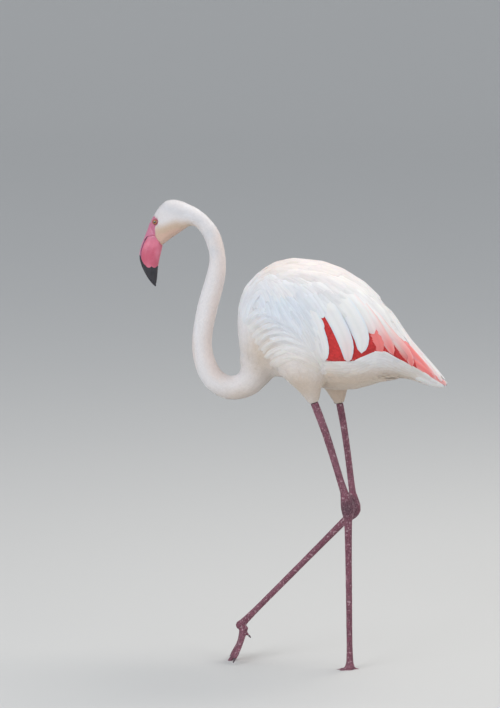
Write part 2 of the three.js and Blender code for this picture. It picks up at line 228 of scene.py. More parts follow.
def coat_depth(points):
    """How far the skin lies inside the plumage's outline."""
    x, z = seen_from_side(points)
    body, _, _ = near_line(points, "body")
    neck, along_neck, _ = near_line(points, "neck")
    head, along_head, _ = near_line(points, "head")
    thighs = [near_line(points, name) for name in ("left_thigh", "right_thigh")]
    # In millimetres: thinner toward the tail, on the neck, on the head and down the thighs.
    depth = 4.6 - 2.6 * smooth_step(215, 262, x)
    on_neck = smooth_step(0.25, -0.25, neck - body)
    depth += (2.6 + 3 * smooth_step(0.75, 1, along_neck) - depth) * on_neck
    on_head = smooth_step(0.2, -0.2, head - np.minimum(neck, body))
    depth += (0.7 + 1.5 * along_head - depth) * on_head
    for apart, along, _ in thighs:
        on_thigh = smooth_step(0.15, -0.15, apart - body) * smooth_step(0.35, 0.6, along)
        depth += (4.2 - 2.7 * smooth_step(0.6, 1, along) - depth) * on_thigh
    return depth * (1 - bare_face(points)) * MM


# On the flank the soft feathers stand up in rolls, one above the other, from the breast round to the
# wing. The skin and all feathers over it are raised along these lines of the side view.
FLANK_ROLLS = [
    [(-88, 645), (-78, 665), (-58, 678), (-36, 668), (-22, 652)],
    [(-82, 632), (-70, 655), (-46, 668), (-16, 657), (-4, 642)],
    [(-76, 620), (-60, 643), (-32, 656), (-4, 644), (10, 630)],
    [(-70, 608), (-56, 632), (-26, 645), (6, 635), (20, 620)],
    [(-64, 595), (-49, 619), (-16, 632), (24, 618), (36, 604)],
    [(-56, 583), (-38, 605), (-6, 616), (32, 603), (45, 589)],
    [(-46, 570), (-28, 591), (0, 601), (34, 587), (49, 573)],
]
ROLL_HEIGHT = 2.3 * MM
ROLL_HALF_WIDTH = 3.8  # millimetres
FLANK_X = (-95, 58)  # no roll is felt outside this part of the side view
FLANK_Z = (560, 690)
FLANK_ASIDE = (20, 40)  # from the middle plane, where the rolls begin and where they are full
roll_lines = np.array(
    [resampled([(x, 0, z, 1) for x, z in row], LINE_STEPS)[:, [0, 2]] for row in FLANK_ROLLS]
)


def ripple_height(points):
    """How far the plumage stands out over the flank's rolls."""
    height = np.zeros(len(points))
    x, z = seen_from_side(points)
    aside = np.abs(points[:, 1] - MIDDLE_Y) / MM
    near = (x > FLANK_X[0]) & (x < FLANK_X[1]) & (z > FLANK_Z[0]) & (z < FLANK_Z[1])
    near = near & (aside > FLANK_ASIDE[0])
    if not near.any():
        return height
    at = np.stack([x[near], z[near]], axis=1)
    apart = np.linalg.norm(at[:, None] - roll_lines.reshape(-1, 2)[None], axis=2)
    along = (np.argmin(apart, axis=1) % LINE_STEPS) / (LINE_STEPS - 1)
    ends = smooth_step(0, 0.35, along) * smooth_step(1, 0.6, along)
    ridge = np.exp(-((apart.min(axis=1) / ROLL_HALF_WIDTH) ** 2))
    height[near] = ROLL_HEIGHT * ridge * ends * smooth_step(*FLANK_ASIDE, aside[near])
    return height


outline_depth = coat_depth(outline_points)
skin_depth = outline_depth - ripple_height(outline_points)
set_points(body_skin, outline_points - outline_normals * skin_depth[:, None])
apply_modifier(body_skin, "SMOOTH", factor=0.5, iterations=SKIN_SMOOTHING)

# Markings. Skin and feathers take the same colours from their place on the bird: white flushed
# with pink above and buff on the cheek. Painted cool shade lies on the sides, painted grey shade on
# the crown and nape, painted warm light on the back of the neck, and painted warm shade in buff on
# the thigh, breast, belly and lower neck. Crimson shows only where the long plumes part over the
# wing coverts.
WHITE = np.array((0.80, 0.76, 0.75))
ROSY = np.array((0.83, 0.70, 0.66))
# Painted cool shade, laid on the shoulder's side and on the edges of the front wing plumes.
COOL_SHADE = np.array((0.68, 0.71, 0.77))
# Buff is a real tint on the shoulder and below it, and painted warm shade on the thigh, breast, belly and
# lower neck.
BUFF = np.array((0.64, 0.49, 0.36))
CRIMSON = np.array((0.60, 0.035, 0.035))
# Painted grey shade, along the crown and nape.
GREY_SHADE = np.array((0.60, 0.61, 0.64))
# Painted warm light, on the back of the neck.
WARM_LIGHT = np.array((0.80, 0.65, 0.57))
TAN = np.array((0.64, 0.44, 0.28))
PEACH = np.array((0.80, 0.52, 0.42))
LORE = np.array((0.52, 0.17, 0.26))


def toward(colour, other, share):
    return colour + (other - colour) * share[:, None]


def spot(x, z, centre_x, centre_z, reach_x, reach_z):
    return np.exp(-(((x - centre_x) / reach_x) ** 2) - ((z - centre_z) / reach_z) ** 2)


# The crimson's edges in the side view: the lower and upper as x and z, the front as z and x.
COVERTS_LOWER_EDGE = [(40, 602), (50, 598), (64, 592), (110, 590), (145, 603), (180, 589), (200, 581),
                      (262, 542)]
COVERTS_UPPER_EDGE = [(40, 672), (48, 690), (60, 702), (120, 690), (160, 655), (180, 632), (200, 612),
                      (262, 573)]
COVERTS_FRONT_EDGE = [(586, 42), (594, 44), (600, 50), (636, 48), (662, 44), (675, 44), (700, 50)]


def covert_mask(points):
    """One where the crimson wing coverts lie, from the wedge above the flank back along the wing."""
    x, z = seen_from_side(points)
    low = edge_at(COVERTS_LOWER_EDGE, x)
    high = edge_at(COVERTS_UPPER_EDGE, x)
    front = edge_at(COVERTS_FRONT_EDGE, z)
    nearest = np.interp(x, [180, 240], [14, 7])
    side = smooth_step(0, 6, np.abs(points[:, 1] - MIDDLE_Y) / MM - nearest)
    ends = smooth_step(-1.5, 1.5, x - front) * smooth_step(252, 240, x)
    return smooth_step(-1.5, 1.5, z - low) * smooth_step(4, -4, z - high) * ends * side


# Soft spots of colour in the side view, each laid over the ones before it.
SPOTS = [
    # colour, its share in the middle, the middle as x and z, and the reach in x and in z
    (COOL_SHADE, 0.8, -20, 685, 80, 45),  # painted cool shade on the shoulder's side
    (BUFF, 0.22, -55, 738, 14, 8.4),  # where buff shows through, on the shoulder and below it
    (BUFF, 0.22, -36, 757, 16, 9.6),
    (BUFF, 0.22, -8, 762, 14, 8.4),
    (BUFF, 0.22, -75, 655, 12, 7.2),
    (GREY_SHADE, 0.4, -228, 858, 14, 9),  # painted grey shade along the crown and down the nape
    (GREY_SHADE, 0.4, -208, 854, 14, 9),
    (GREY_SHADE, 0.4, -184, 844, 14, 9),
    (GREY_SHADE, 0.4, -159, 824, 14, 9),
    (GREY_SHADE, 0.4, -147, 795, 14, 9),
    (BUFF, 0.8, 4, 556, 60, 46),  # painted warm shade on the thigh
    (BUFF, 0.7, -66, 592, 22, 48),  # painted warm shade on the breast
    (BUFF, 0.55, -110, 515, 60, 22),  # painted warm shade under the neck's lowest bend
]
# The middle of the neck's upright part, as z and x.
NECK_MIDDLE = [(546, -142), (573, -158), (608, -165), (641, -163), (683, -154), (722, -143), (748, -138),
               (791, -140), (815, -149)]


def ground(points):
    """The plumage's colours without the crimson, painted shade and light included."""
    x, z = seen_from_side(points)
    colour = np.repeat(WHITE[None], len(points), axis=0)
    colour = toward(colour, ROSY, 0.8 * smooth_step(700, 765, z) * smooth_step(-110, -60, x))
    for tone, share, *place in SPOTS:
        colour = toward(colour, tone, share * spot(x, z, *place))
    # Painted warm shade in buff over the belly, fuller toward the bottom.
    belly_shade = smooth_step(598, 550, z) * smooth_step(20, 60, x) * smooth_step(260, 190, x)
    colour = toward(colour, BUFF, 0.8 * belly_shade)
    # The neck is warmer behind than in front, with painted warm light on its rear side.
    neck_x = edge_at(NECK_MIDDLE, z)
    on_neck = smooth_step(-110, -120, x) * smooth_step(540, 570, z) * smooth_step(850, 820, z) * (x > -200)
    colour = toward(colour, WARM_LIGHT, 0.55 * on_neck * smooth_step(-9, 12, x - neck_x))
    # The cheek is tan below a line from the eye back to the nape, and peach under the chin.
    below = 831 + (x + 248) * 0.2 + 3 * np.sin((x + 230) / 9) - z
    cheek = smooth_step(-5, 15, below) * smooth_step(-174, -200, x)
    colour = toward(colour, TAN, 0.8 * cheek)
    return toward(colour, PEACH, 0.6 * cheek * smooth_step(14, 24, below))


def markings(points):
    """The plumage's colours with the crimson."""
    return toward(ground(points), CRIMSON, covert_mask(points))


# Plumage finish. Feather is soft and matt, with fine barbs that slant out from the shaft. The skin
# wears it too, so that what shows between feathers is like them. A Value wraps a shader socket, so
# that a pattern is written as an expression, and a Finish is one material.
class Value:
    """A shader socket that can be used in an expression."""

    def __init__(self, tree, socket):
        self.tree = tree
        self.socket = socket

    def math(self, operation, *others):
        node = self.tree.nodes.new("ShaderNodeMath")
        node.operation = operation
        for i, item in enumerate((self, *others)):
            if isinstance(item, Value):
                self.tree.links.new(item.socket, node.inputs[i])
            else:
                node.inputs[i].default_value = item
        return Value(self.tree, node.outputs[0])

    def __add__(self, other):
        return self.math("ADD", other)

    def __mul__(self, other):
        return self.math("MULTIPLY", other)

    def __sub__(self, other):
        return self.math("SUBTRACT", other)

    def __rsub__(self, other):
        return (self * -1) + other

    __radd__ = __add__
    __rmul__ = __mul__

    def over(self, low, high):
        """Nought below low, one above high and smooth between."""
        node = self.tree.nodes.new("ShaderNodeMapRange")
        node.interpolation_type = "SMOOTHSTEP"
        self.tree.links.new(self.socket, node.inputs["Value"])
        node.inputs["From Min"].default_value = low
        node.inputs["From Max"].default_value = high
        return Value(self.tree, node.outputs[0])


class Finish:
    """A material whose nodes are added one at a time."""

    def __init__(self, name, **surface):
        self.material = bpy.data.materials.new(name)
        self.material.use_nodes = True
        self.tree = self.material.node_tree
        self.shader = self.tree.nodes["Principled BSDF"]
        for socket, value in surface.items():
            self.shader.inputs[socket.replace("_", " ")].default_value = value

    def node(self, kind, settings=None, output=0, **sockets):
        """A node's output. A socket is given by its name, or by i and its number."""
        node = self.tree.nodes.new(kind)
        for key, value in (settings or {}).items():
            setattr(node, key, value)
        for key, value in sockets.items():
            self.feed(node.inputs[int(key[1:])] if key[1:].isdigit() else node.inputs[key], value)
        return Value(self.tree, node.outputs[output])

    def feed(self, socket, value):
        if isinstance(value, Value):
            self.tree.links.new(value.socket, socket)
        else:
            socket.default_value = value

    def to(self, socket, value):
        self.feed(self.shader.inputs[socket], value)

    def attribute(self, name, output="Color"):
        return self.node("ShaderNodeAttribute", {"attribute_name": name}, output)

    def place(self):
        return self.node("ShaderNodeTexCoord", output="Object")

    def part(self, vector, axis):
        return self.node("ShaderNodeSeparateXYZ", output=axis, Vector=vector)

    def mixed(self, share, first, second, blend="MIX"):
        settings = {"data_type": "RGBA", "blend_type": blend}
        return self.node("ShaderNodeMix", settings, output=2, i0=share, i6=first, i7=second)

    def noise(self, scale, detail=3.0, where=None):
        sockets = {"Scale": scale, "Detail": detail, "Vector": where or self.place()}
        return self.node("ShaderNodeTexNoise", output=0, **sockets)

    def bump(self, height, strength, distance):
        self.to("Normal", self.node("ShaderNodeBump", Height=height, Strength=strength, Distance=distance))


# Each vane carries where it is along and across itself in millimetres. The barbs follow from that.
plumage = Finish(
    "plumage", Roughness=0.62, Sheen_Weight=0.3, Sheen_Roughness=0.45, Specular_IOR_Level=0.22,
    Subsurface_Weight=0.12, Subsurface_Scale=0.006,
)
vane = plumage.attribute("vane", "Vector")
along_vane = plumage.part(vane, 0)
across_vane = plumage.part(vane, 1)
slant = along_vane * 0.8 - across_vane.math("ABSOLUTE") * 0.75
ripple = plumage.noise(0.35, 2.0, vane)
barbs = (slant * 7.0 + ripple * 9.0).math("SINE")
fine = plumage.noise(90.0)
shaded = plumage.mixed(fine * 0.08, plumage.attribute("tint"), (0.7, 0.62, 0.6, 1), "MULTIPLY")
plumage.to("Base Color", plumage.mixed(barbs * 0.035 + 0.035, shaded, (0.55, 0.5, 0.5, 1), "MULTIPLY"))
plumage.bump(barbs * 0.5 + plumage.noise(500.0, 2.0) * 0.25, 0.3, 0.0003)
LAYER_FIELDS = {"FLOAT": "value", "FLOAT_VECTOR": "vector", "FLOAT_COLOR": "color"}


def give_layer(piece, name, kind, values):
    """Stores a number, vector or colour for each point of a piece, which its finish reads."""
    layer = piece.data.attributes.new(name, kind, "POINT")
    layer.data.foreach_set(LAYER_FIELDS[kind], np.ascontiguousarray(values).ravel())


def give_tint(piece, colours):
    give_layer(piece, "tint", "FLOAT_COLOR", np.hstack([colours, np.ones((len(colours), 1))]))


body_skin.data.materials.append(plumage.material)
skin_points = mesh_arrays(body_skin)[0]
give_tint(body_skin, toward(markings(skin_points), LORE, bare_face(skin_points)))
give_layer(body_skin, "vane", "FLOAT_VECTOR", skin_points / MM)

# Coat. Small feathers cover the bird all over. Each is a closed lock of three sides that starts in a
# point at its root in the coat, widens, and ends in a point that lies along the outline. A shape lists
# shares of the length and the share of the full width there.
POINTED = ((0.35, 0.8), (0.78, 1.0))
ROUNDED = ((0.2, 0.6), (0.5, 1.0), (0.82, 0.95), (0.95, 0.55))
TAIL_TIP = 276 * MM  # locks near the tail's tip are short, so that they end on it
SHORTEST = 5 * MM
TIP_HEIGHT = 0.98  # of the coat's depth
SPREAD = 0.06  # how far locks turn aside
RISE = 0.06  # how far a lock's ridge stands up, as a share of its width
DENSITY = 1.0
TRIES = 6  # random places for each lock, of which one in each cell is kept
CELL_KEY = (1, 100003, 10000600009)  # makes one number of a cell's three

# The lay. On head, neck and thighs feathers lie along the line from the bill. On the wing they fan
# down from the shoulder, in front they run up over the breast and round the flank, and below the
# wing they run back. Each row is x, z and the direction there in the side view.
WING_LAY = [
    (-95, 690, 0.12, 0.99), (-88, 715, 0.35, 0.93), (-78, 695, 0.4, 0.9), (-75, 728, 0.6, 0.8),
    (-58, 700, 0.2, -0.98), (-58, 680, 0.25, -0.97), (-40, 700, 0.45, -0.9), (-40, 722, 0.5, -0.86),
    (-12, 690, 0.57, -0.82), (-12, 720, 0.62, -0.78), (-20, 745, 0.85, -0.4), (19, 646, 0.5, -0.86),
    (42, 612, 0.35, -0.94), (20, 700, 0.58, -0.81), (30, 735, 0.75, -0.65), (48, 657, 0.42, -0.91),
    (60, 620, 0.1, -1), (60, 600, 0, -1), (50, 680, 0.6, -0.8), (70, 657, 0.5, -0.87),
    (93, 610, 0.4, -0.92), (75, 700, 0.68, -0.73), (116, 675, 0.5, -0.87), (129, 631, 0.1, -1),
    (120, 700, 0.7, -0.7), (142, 667, 0.62, -0.78), (165, 635, 0.55, -0.84), (178, 670, 0.65, -0.76),
    (191, 626, 0.65, -0.76), (214, 605, 0.68, -0.73), (230, 600, 0.7, -0.7), (265, 557, 0.68, -0.73),
    (-60, 748, 0.9, 0.35), (-40, 762, 1, 0.2), (0, 765, 1, 0.05), (40, 762, 1, -0.15),
    (80, 750, 0.92, -0.4), (110, 735, 0.85, -0.52), (140, 718, 0.78, -0.62), (170, 685, 0.7, -0.71),
]
FRONT_LAY = [
    (-90, 545, 0.4, 0.7), (-90, 585, 0.25, 0.97), (-92, 612, 0.15, 1), (-97, 650, 0.05, 1),
    (-92, 680, 0.1, 1), (-70, 640, 0.35, 0.94), (-72, 605, 0.5, 0.86), (-66, 562, 0.8, 0.6),
    (-45, 590, 0.6, 0.8), (-35, 568, 0.9, 0.2), (-10, 600, 0.85, -0.5), (25, 600, 0.65, -0.76),
    (-54, 672, 0.9, 0.1), (-60, 650, 0.8, 0.5), (-38, 655, 0.98, -0.1), (-50, 630, 0.8, 0.6),
    (-22, 645, 0.97, -0.25), (-30, 622, 0.95, 0.3), (-5, 636, 0.85, -0.5), (5, 618, 0.8, -0.6),
    (-12, 560, 0.62, -0.78), (12, 562, 0.5, -0.87), (20, 538, 0.4, -0.92), (45, 575, 0.4, -0.9),
    (38, 520, 0.3, -0.95), (42, 556, 0.3, -0.95),
]
REAR_LAY = [
    (60, 575, 0.97, 0.2), (60, 545, 1, -0.05), (120, 590, 1, 0.1), (110, 545, 1, 0), (160, 590, 1, -0.2),
    (150, 548, 1, 0.1), (200, 565, 0.97, -0.2), (200, 580, 0.9, -0.4), (240, 545, 0.93, -0.35),
    (270, 535, 0.9, -0.4),
]
LAY_REACH = 15.0  # millimetres over which one row gives way to the next
WING_FRONT_EDGE = [(-110, 668), (-53, 677), (-32, 668), (-10, 656), (3, 643), (30, 618), (46, 596),
                   (55, 565)]
WING_LOWER_EDGE = [(40, 590), (50, 593), (110, 595), (145, 611), (180, 597), (200, 588), (262, 547),
                   (290, 535)]
FLANK_END = 50  # the wing's front edge goes over into the lower one at this x


def on_outline(points):
    """The nearest place on the outline to each point, with the direction out and coat depth there."""
    found = [outline_tree.find_nearest(p) for p in points.tolist()]
    place = np.array([f[0] for f in found])
    corners = outline_tris[[f[2] for f in found]]
    near = 1 / (np.linalg.norm(outline_points[corners] - place[:, None], axis=2) + 1e-6)
    share = near / near.sum(axis=1, keepdims=True)
    out = unit((outline_normals[corners] * share[:, :, None]).sum(axis=1))
    return place, out, (outline_depth[corners] * share).sum(axis=1)


def share_over_wing(points):
    """One on the wing and back, nought in front of the wing and below it."""
    x, z = seen_from_side(points)
    edge = np.where(x < FLANK_END, edge_at(WING_FRONT_EDGE, x), edge_at(WING_LOWER_EDGE, x))
    return smooth_step(-3, 3, z - edge)


def from_rows(rows, x, z):
    """The direction that the nearest rows give at each place."""
    rows = np.array(rows, float)
    apart2 = (x[:, None] - rows[None, :, 0]) ** 2 + (z[:, None] - rows[None, :, 1]) ** 2
    weight = np.exp(-(apart2 - apart2.min(axis=1, keepdims=True)) / (2 * LAY_REACH**2))
    return unit((weight[:, :, None] * rows[None, :, 2:]).sum(axis=1))


def flow(points, out):
    """The direction in which the feathers lie at each point."""
    x, z = seen_from_side(points)
    side_view = from_rows(REAR_LAY, x, z)
    at_front = smooth_step(58, 50, x + 0.2 * (590 - z))[:, None]
    side_view = side_view + (from_rows(FRONT_LAY, x, z) - side_view) * at_front
    run = np.stack([side_view[:, 0], np.zeros(len(x)), side_view[:, 1]], axis=1)
    over_wing = from_rows(WING_LAY, x, z)
    over_wing = np.stack([over_wing[:, 0], np.zeros(len(x)), over_wing[:, 1]], axis=1)
    run = run + (over_wing - run) * share_over_wing(points)[:, None]
    body = near_line(points, "body")[0]
    for name in ("neck", "head", "left_thigh", "right_thigh"):
        apart, along, _ = near_line(points, name)
        share = smooth_step(0.3, -0.3, apart - body)
        if name == "head":
            share = share * smooth_step(-178, -205, x)
        if name.endswith("thigh"):
            share = share * smooth_step(0.3, 0.6, along)
        near = np.argmin(np.linalg.norm(points[:, None] - lines[name]["at"][None], axis=2), axis=1)
        run = run + (lines[name]["run"][near] - run) * share[:, None]
    return unit(run - out * (run * out).sum(axis=1, keepdims=True))


def traced(start, length, shares, turn):
    """The place, direction out, coat depth and lie at each share of the feathers' lengths from their
    roots. Each path keeps turned a little aside from the lay."""
    place, out, depth = on_outline(start)
    rings = []
    for i, share in enumerate(shares):
        if i:
            place, out, depth = on_outline(place + run * (length * (share - shares[i - 1]))[:, None])
        run = flow(place, out)
        run = unit(run + np.cross(out, run) * turn[:, None])
        rings.append((place, out, depth, run))
    return rings


# Each line's skin is opened out into a strip of the OFBake map, and a tuft's patch lies at its root's
# place there.
STRIPS = {
    "head": (0.0, 0.12), "neck": (0.14, 0.3), "body": (0.32, 0.78), "left_thigh": (0.8, 0.89),
    "right_thigh": (0.91, 1.0),
}
PATCH = 0.003


def unrolled(points):
    """The place of each point on the unrolled skin."""
    apart = []
    places = []
    for name, (low, high) in STRIPS.items():
        distance, along, angle = near_line(points, name)
        apart.append(distance)
        around = 0.02 + 0.94 * (angle / (2 * math.pi) + 0.5)
        across = low + (high - low - PATCH) * (0.04 + 0.92 * along)
        places.append(np.stack([around, across], axis=1))
    nearest = np.argmin(np.array(apart), axis=0)
    return np.array(places)[nearest, np.arange(len(points))]


def joined_mesh(name, points, faces, colours, vanes, places, rim):
    """A piece of many vanes. The faces are arrays of point numbers. Each point has its colour, its place
    on its own vane, its place on the unrolled skin, and whether it is on the rim, a sharp edge."""
    mesh = bpy.data.meshes.new(name)
    counts = np.concatenate([np.full(len(face_set), face_set.shape[1]) for face_set in faces])
    corners = np.concatenate([face_set.ravel() for face_set in faces])
    mesh.vertices.add(len(points))
    mesh.vertices.foreach_set("co", np.ascontiguousarray(points, float).ravel())
    mesh.loops.add(len(corners))
    mesh.loops.foreach_set("vertex_index", corners)
    mesh.polygons.add(len(counts))
    mesh.polygons.foreach_set("loop_start", np.concatenate([[0], np.cumsum(counts)[:-1]]))
    mesh.polygons.foreach_set("loop_total", counts)
    mesh.update(calc_edges=True)
    mesh.polygons.foreach_set("use_smooth", np.ones(len(counts), bool))
    ends = np.zeros(len(mesh.edges) * 2, np.int64)
    mesh.edges.foreach_get("vertices", ends)
    sharp = mesh.attributes.new("sharp_edge", "BOOLEAN", "EDGE")
    sharp.data.foreach_set("value", rim[ends.reshape(-1, 2)].all(axis=1))
    layer = mesh.uv_layers.new(name="OFBake")
    layer.data.foreach_set("uv", np.ascontiguousarray(places[corners], float).ravel())
    piece = bpy.data.objects.new(name, mesh)
    bpy.context.scene.collection.objects.link(piece)
    mesh.materials.append(plumage.material)
    give_tint(piece, colours)
    give_layer(piece, "vane", "FLOAT_VECTOR", vanes)
    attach(piece, "root")


def scattered(spacing, mask, seed):
    """Root points over the outline about one spacing apart, where the mask is over one half."""
    draw = np.random.default_rng(seed)
    corners = outline_points[outline_tris]
    corners = corners[mask(corners.mean(axis=1)) > 0.5]
    sides = corners[:, 1:] - corners[:, :1]
    area = 0.5 * np.linalg.norm(np.cross(sides[:, 0], sides[:, 1]), axis=1)
    count = int(area.sum() / spacing**2 * TRIES)
    pick = draw.choice(len(corners), count, p=area / area.sum())
    u, v = draw.random(count), draw.random(count)
    over = u + v > 1
    u[over], v[over] = 1 - u[over], 1 - v[over]
    a, b, c = corners[pick, 0], corners[pick, 1], corners[pick, 2]
    points = a + (b - a) * u[:, None] + (c - a) * v[:, None]
    cell = np.floor(points / spacing).astype(np.int64)
    _, first = np.unique(cell @ np.array(CELL_KEY), return_index=True)
    return points[np.sort(first)]


def lock_coat(name, roots, length, width, root_height, shape, seed):
    """Locks at the roots. The root's height is a share of the coat's depth."""
    draw = np.random.default_rng(seed)
    count = len(roots)
    length = length * draw.uniform(0.8, 1.2, count)
    length = np.minimum(length, np.maximum(TAIL_TIP - roots[:, 0], SHORTEST))
    width = width * draw.uniform(0.8, 1.2, count)
    shares = (0, *[share for share, _ in shape], 1.0)
    rings = traced(roots, length, shares, draw.normal(0, SPREAD, count))
    lift = draw.uniform(-0.03, 0.03, count)
    # A few tips hang free under the rear of the belly.
    x, z = seen_from_side(roots)
    lift += 1.1 * draw.random(count) ** 2 * spot(x, z, 152, 550, 20, 10) * (name == "coat_belly")
    size = 3 * len(shape) + 2
    points = np.zeros((count, size, 3))
    vanes = np.zeros((count, size, 3))
    vanes[:, :, 2] = draw.uniform(0, 100, count)[:, None]
    patch = np.zeros((size, 2))
    for i, share in enumerate(shares):
        at, at_out, at_depth, at_run = rings[i]
        height = root_height + (TIP_HEIGHT + lift - root_height) * share
        centre = at - at_out * (at_depth * (1 - height) - ripple_height(at))[:, None]
        if i in (0, len(shares) - 1):
            end = 0 if i == 0 else size - 1
            points[:, end] = centre
            vanes[:, end, 0] = share * length / MM
            patch[end] = 0.5, share
            continue
        half = width * shape[i - 1][1] / 2
        across = np.cross(at_out, at_run)
        for k, side in enumerate((-1, 0, 1)):
            corner = 1 + 3 * (i - 1) + k
            up = RISE * half * (1 - abs(side))
            points[:, corner] = centre + across * (half * side)[:, None] + at_out * up[:, None]
            vanes[:, corner, 0] = share * length / MM
            vanes[:, corner, 1] = half * side / MM
            patch[corner] = 0.5 + 0.5 * side, share
    last = size - 4
    tip = size - 1
    tris = [(0, 2, 1), (0, 3, 2), (0, 1, 3)]
    tris += [(last, last + 1, tip), (last + 1, last + 2, tip), (last + 2, last, tip)]
    tris = np.array(tris)
    quads = []
    for a in range(1, last, 3):
        quads += [(a + i, a + (i + 1) % 3, a + 3 + (i + 1) % 3, a + 3 + i) for i in range(3)]
    quads = np.array(quads)
    offset = (np.arange(count) * size)[:, None, None]
    faces = [(tris[None] + offset).reshape(-1, 3), (quads[None] + offset).reshape(-1, 4)]
    shade = draw.uniform(0.96, 1.03, count)
    if name == "coat_coverts":
        shade = draw.uniform(0.82, 1.15, count)
    root_shade = 0.9 + 0.12 * patch[:, 1]  # painted shade, a little darker at the root where the lock lies under others
    tint = np.repeat(ground(rings[0][0]), size, axis=0)
    tint = toward(tint, CRIMSON, covert_mask(points.reshape(-1, 3))).reshape(count, size, 3)
    tint = tint * (shade[:, None] * root_shade[None])[:, :, None]
    places = unrolled(rings[0][0])[:, None] + patch[None] * PATCH
    rim = np.ones(size, bool)
    rim[2:last:3] = False
    flat = (points.reshape(-1, 3), faces, np.clip(tint, 0, 0.97).reshape(-1, 3), vanes.reshape(-1, 3))
    joined_mesh(name, *flat, places.reshape(-1, 2), np.tile(rim, count))


# Where one part of the coat gives way to the next.
HEAD_REAR_X = -190 * MM
NECK_FRONT_X = -207 * MM  # the neck's locks start on the back of the head
BREAST_REAR_X = -28 * MM
THIGH_START = 0.35  # along the thigh's line


def region_of(points):
    """The name of the part of the coat that each point is in."""
    apart = {name: near_line(points, name)[0] for name in lines}
    thighs = np.minimum(apart["left_thigh"], apart["right_thigh"])
    on_left = apart["left_thigh"] < apart["right_thigh"]
    along = np.where(on_left, near_line(points, "left_thigh")[1], near_line(points, "right_thigh")[1])
    found = np.where(apart["neck"] < apart["body"], "neck", "body")
    found = np.where((thighs < apart["body"]) & (along > THIGH_START), "thighs", found)
    breast = (points[:, 0] < BREAST_REAR_X) & (share_over_wing(points) < 0.5)
    found = np.where((found == "body") & breast, "breast", found)
    found = np.where((found == "body") & (covert_mask(points) > 0.5), "coverts", found)
    found = np.where((found == "body") & (share_over_wing(points) < 0.5), "belly", found)
    return np.where((apart["head"] < apart["neck"]) & (points[:, 0] < HEAD_REAR_X), "head", found)


COATS = [
    # name, region, side, spacing, length and width in millimetres, height of the roots, shape
    ("coat_head", "head", 0, 1.3, 6.0, 2.0, 0.6, POINTED),
    ("coat_neck", "neck", 0, 2.3, 15.0, 3.8, 0.76, POINTED),
    ("coat_breast", "breast", 0, 2.8, 20.0, 5.6, 0.76, POINTED),
    ("coat_back_left", "body", -1, 4.0, 30.0, 10.0, 0.6, ROUNDED),
    ("coat_back_right", "body", 1, 4.0, 30.0, 10.0, 0.6, ROUNDED),
    ("coat_belly", "belly", 0, 3.2, 22.0, 6.5, 0.76, POINTED),
    ("coat_coverts", "coverts", 0, 3.6, 20.0, 8.0, 0.65, ROUNDED),
    ("coat_thighs", "thighs", 0, 2.8, 16.0, 4.8, 0.76, POINTED),
]
for i, (name, region, side, spacing, length, width, root_height, shape) in enumerate(COATS):
    def wanted(points, region=region, side=side):
        found = region_of(points)
        mask = found == region
        if region == "neck":
            mask = mask | ((found == "head") & (points[:, 0] > NECK_FRONT_X))
        mask = mask * (bare_face(points) < 0.4)
        if side:
            mask = mask * ((points[:, 1] - MIDDLE_Y) * side > 0)
        return mask

    roots = scattered(spacing * MM / DENSITY**0.5, wanted, seed=100 + i)
    lock_coat(name, roots, length * MM, width * MM / DENSITY**0.5, root_height, shape, seed=200 + i)

# Wing plumes. The wing's long outer feathers are thin, slightly arched vanes, white with salmon and
# pink toward the tips, and overlap like roof tiles. Each follows a path in the side view, carried
# across onto the outline.
SIDES = {"left": -1, "right": 1}
PLUME_STEPS = 14
PLUME_ACROSS = 7
PLUME_THICKNESS = 0.5 * MM
ROOT_DEPTH = 5.0  # millimetres below the outline
OUTSIDE = 300 * MM  # clear of the bird at its side
INSIDE = 20 * MM
SALMON = np.array((0.86, 0.21, 0.20))
PINK = np.array((0.82, 0.44, 0.43))
BLUSH = np.array((0.82, 0.64, 0.63))
ROSE = np.array((0.80, 0.20, 0.22))


def from_side(places, side):
    """The points of the outline straight across from places in the side view."""
    points = []
    for x, z in places:
        start = Vector((x * MM, MIDDLE_Y + side * OUTSIDE, z * MM))
        found = outline_tree.ray_cast(start, Vector((0, -side, 0)))
        if found[0] is None:
            found = outline_tree.find_nearest(Vector((x * MM, MIDDLE_Y + side * INSIDE, z * MM)))
        points.append(found[0])
    return np.array(points)


def plume_paths(rows, side):
    """Points on the outline at even steps along a path in the side view."""
    return from_side(resampled([(x, 0, z, 1) for x, z in rows], PLUME_STEPS)[:, [0, 2]], side)


def plume_half(share, blunt):
    """Half the width along a plume as a share of its widest: narrow at the root, and round at the tip."""
    root = 0.45 + 0.55 * smooth_step(0, 0.35, share)
    tip = np.sqrt(np.clip(1 - np.clip((share - (1 - blunt)) / blunt, 0, 1) ** 2, 0, 1))
    return root * tip


def ring_of(rows, columns):
    """The numbers of a grid's points on its rim, in order round it."""
    grid = np.arange(rows * columns).reshape(rows, columns)
    return np.concatenate([grid[0], grid[1:, -1], grid[-1, -2::-1], grid[-2:0:-1, 0]])


def on_both_faces(values, count):
    """The same values for the upper and the lower points of each plume."""
    return np.tile(values.reshape(count, 1, -1, 3), (1, 2, 1, 1)).reshape(-1, 3)


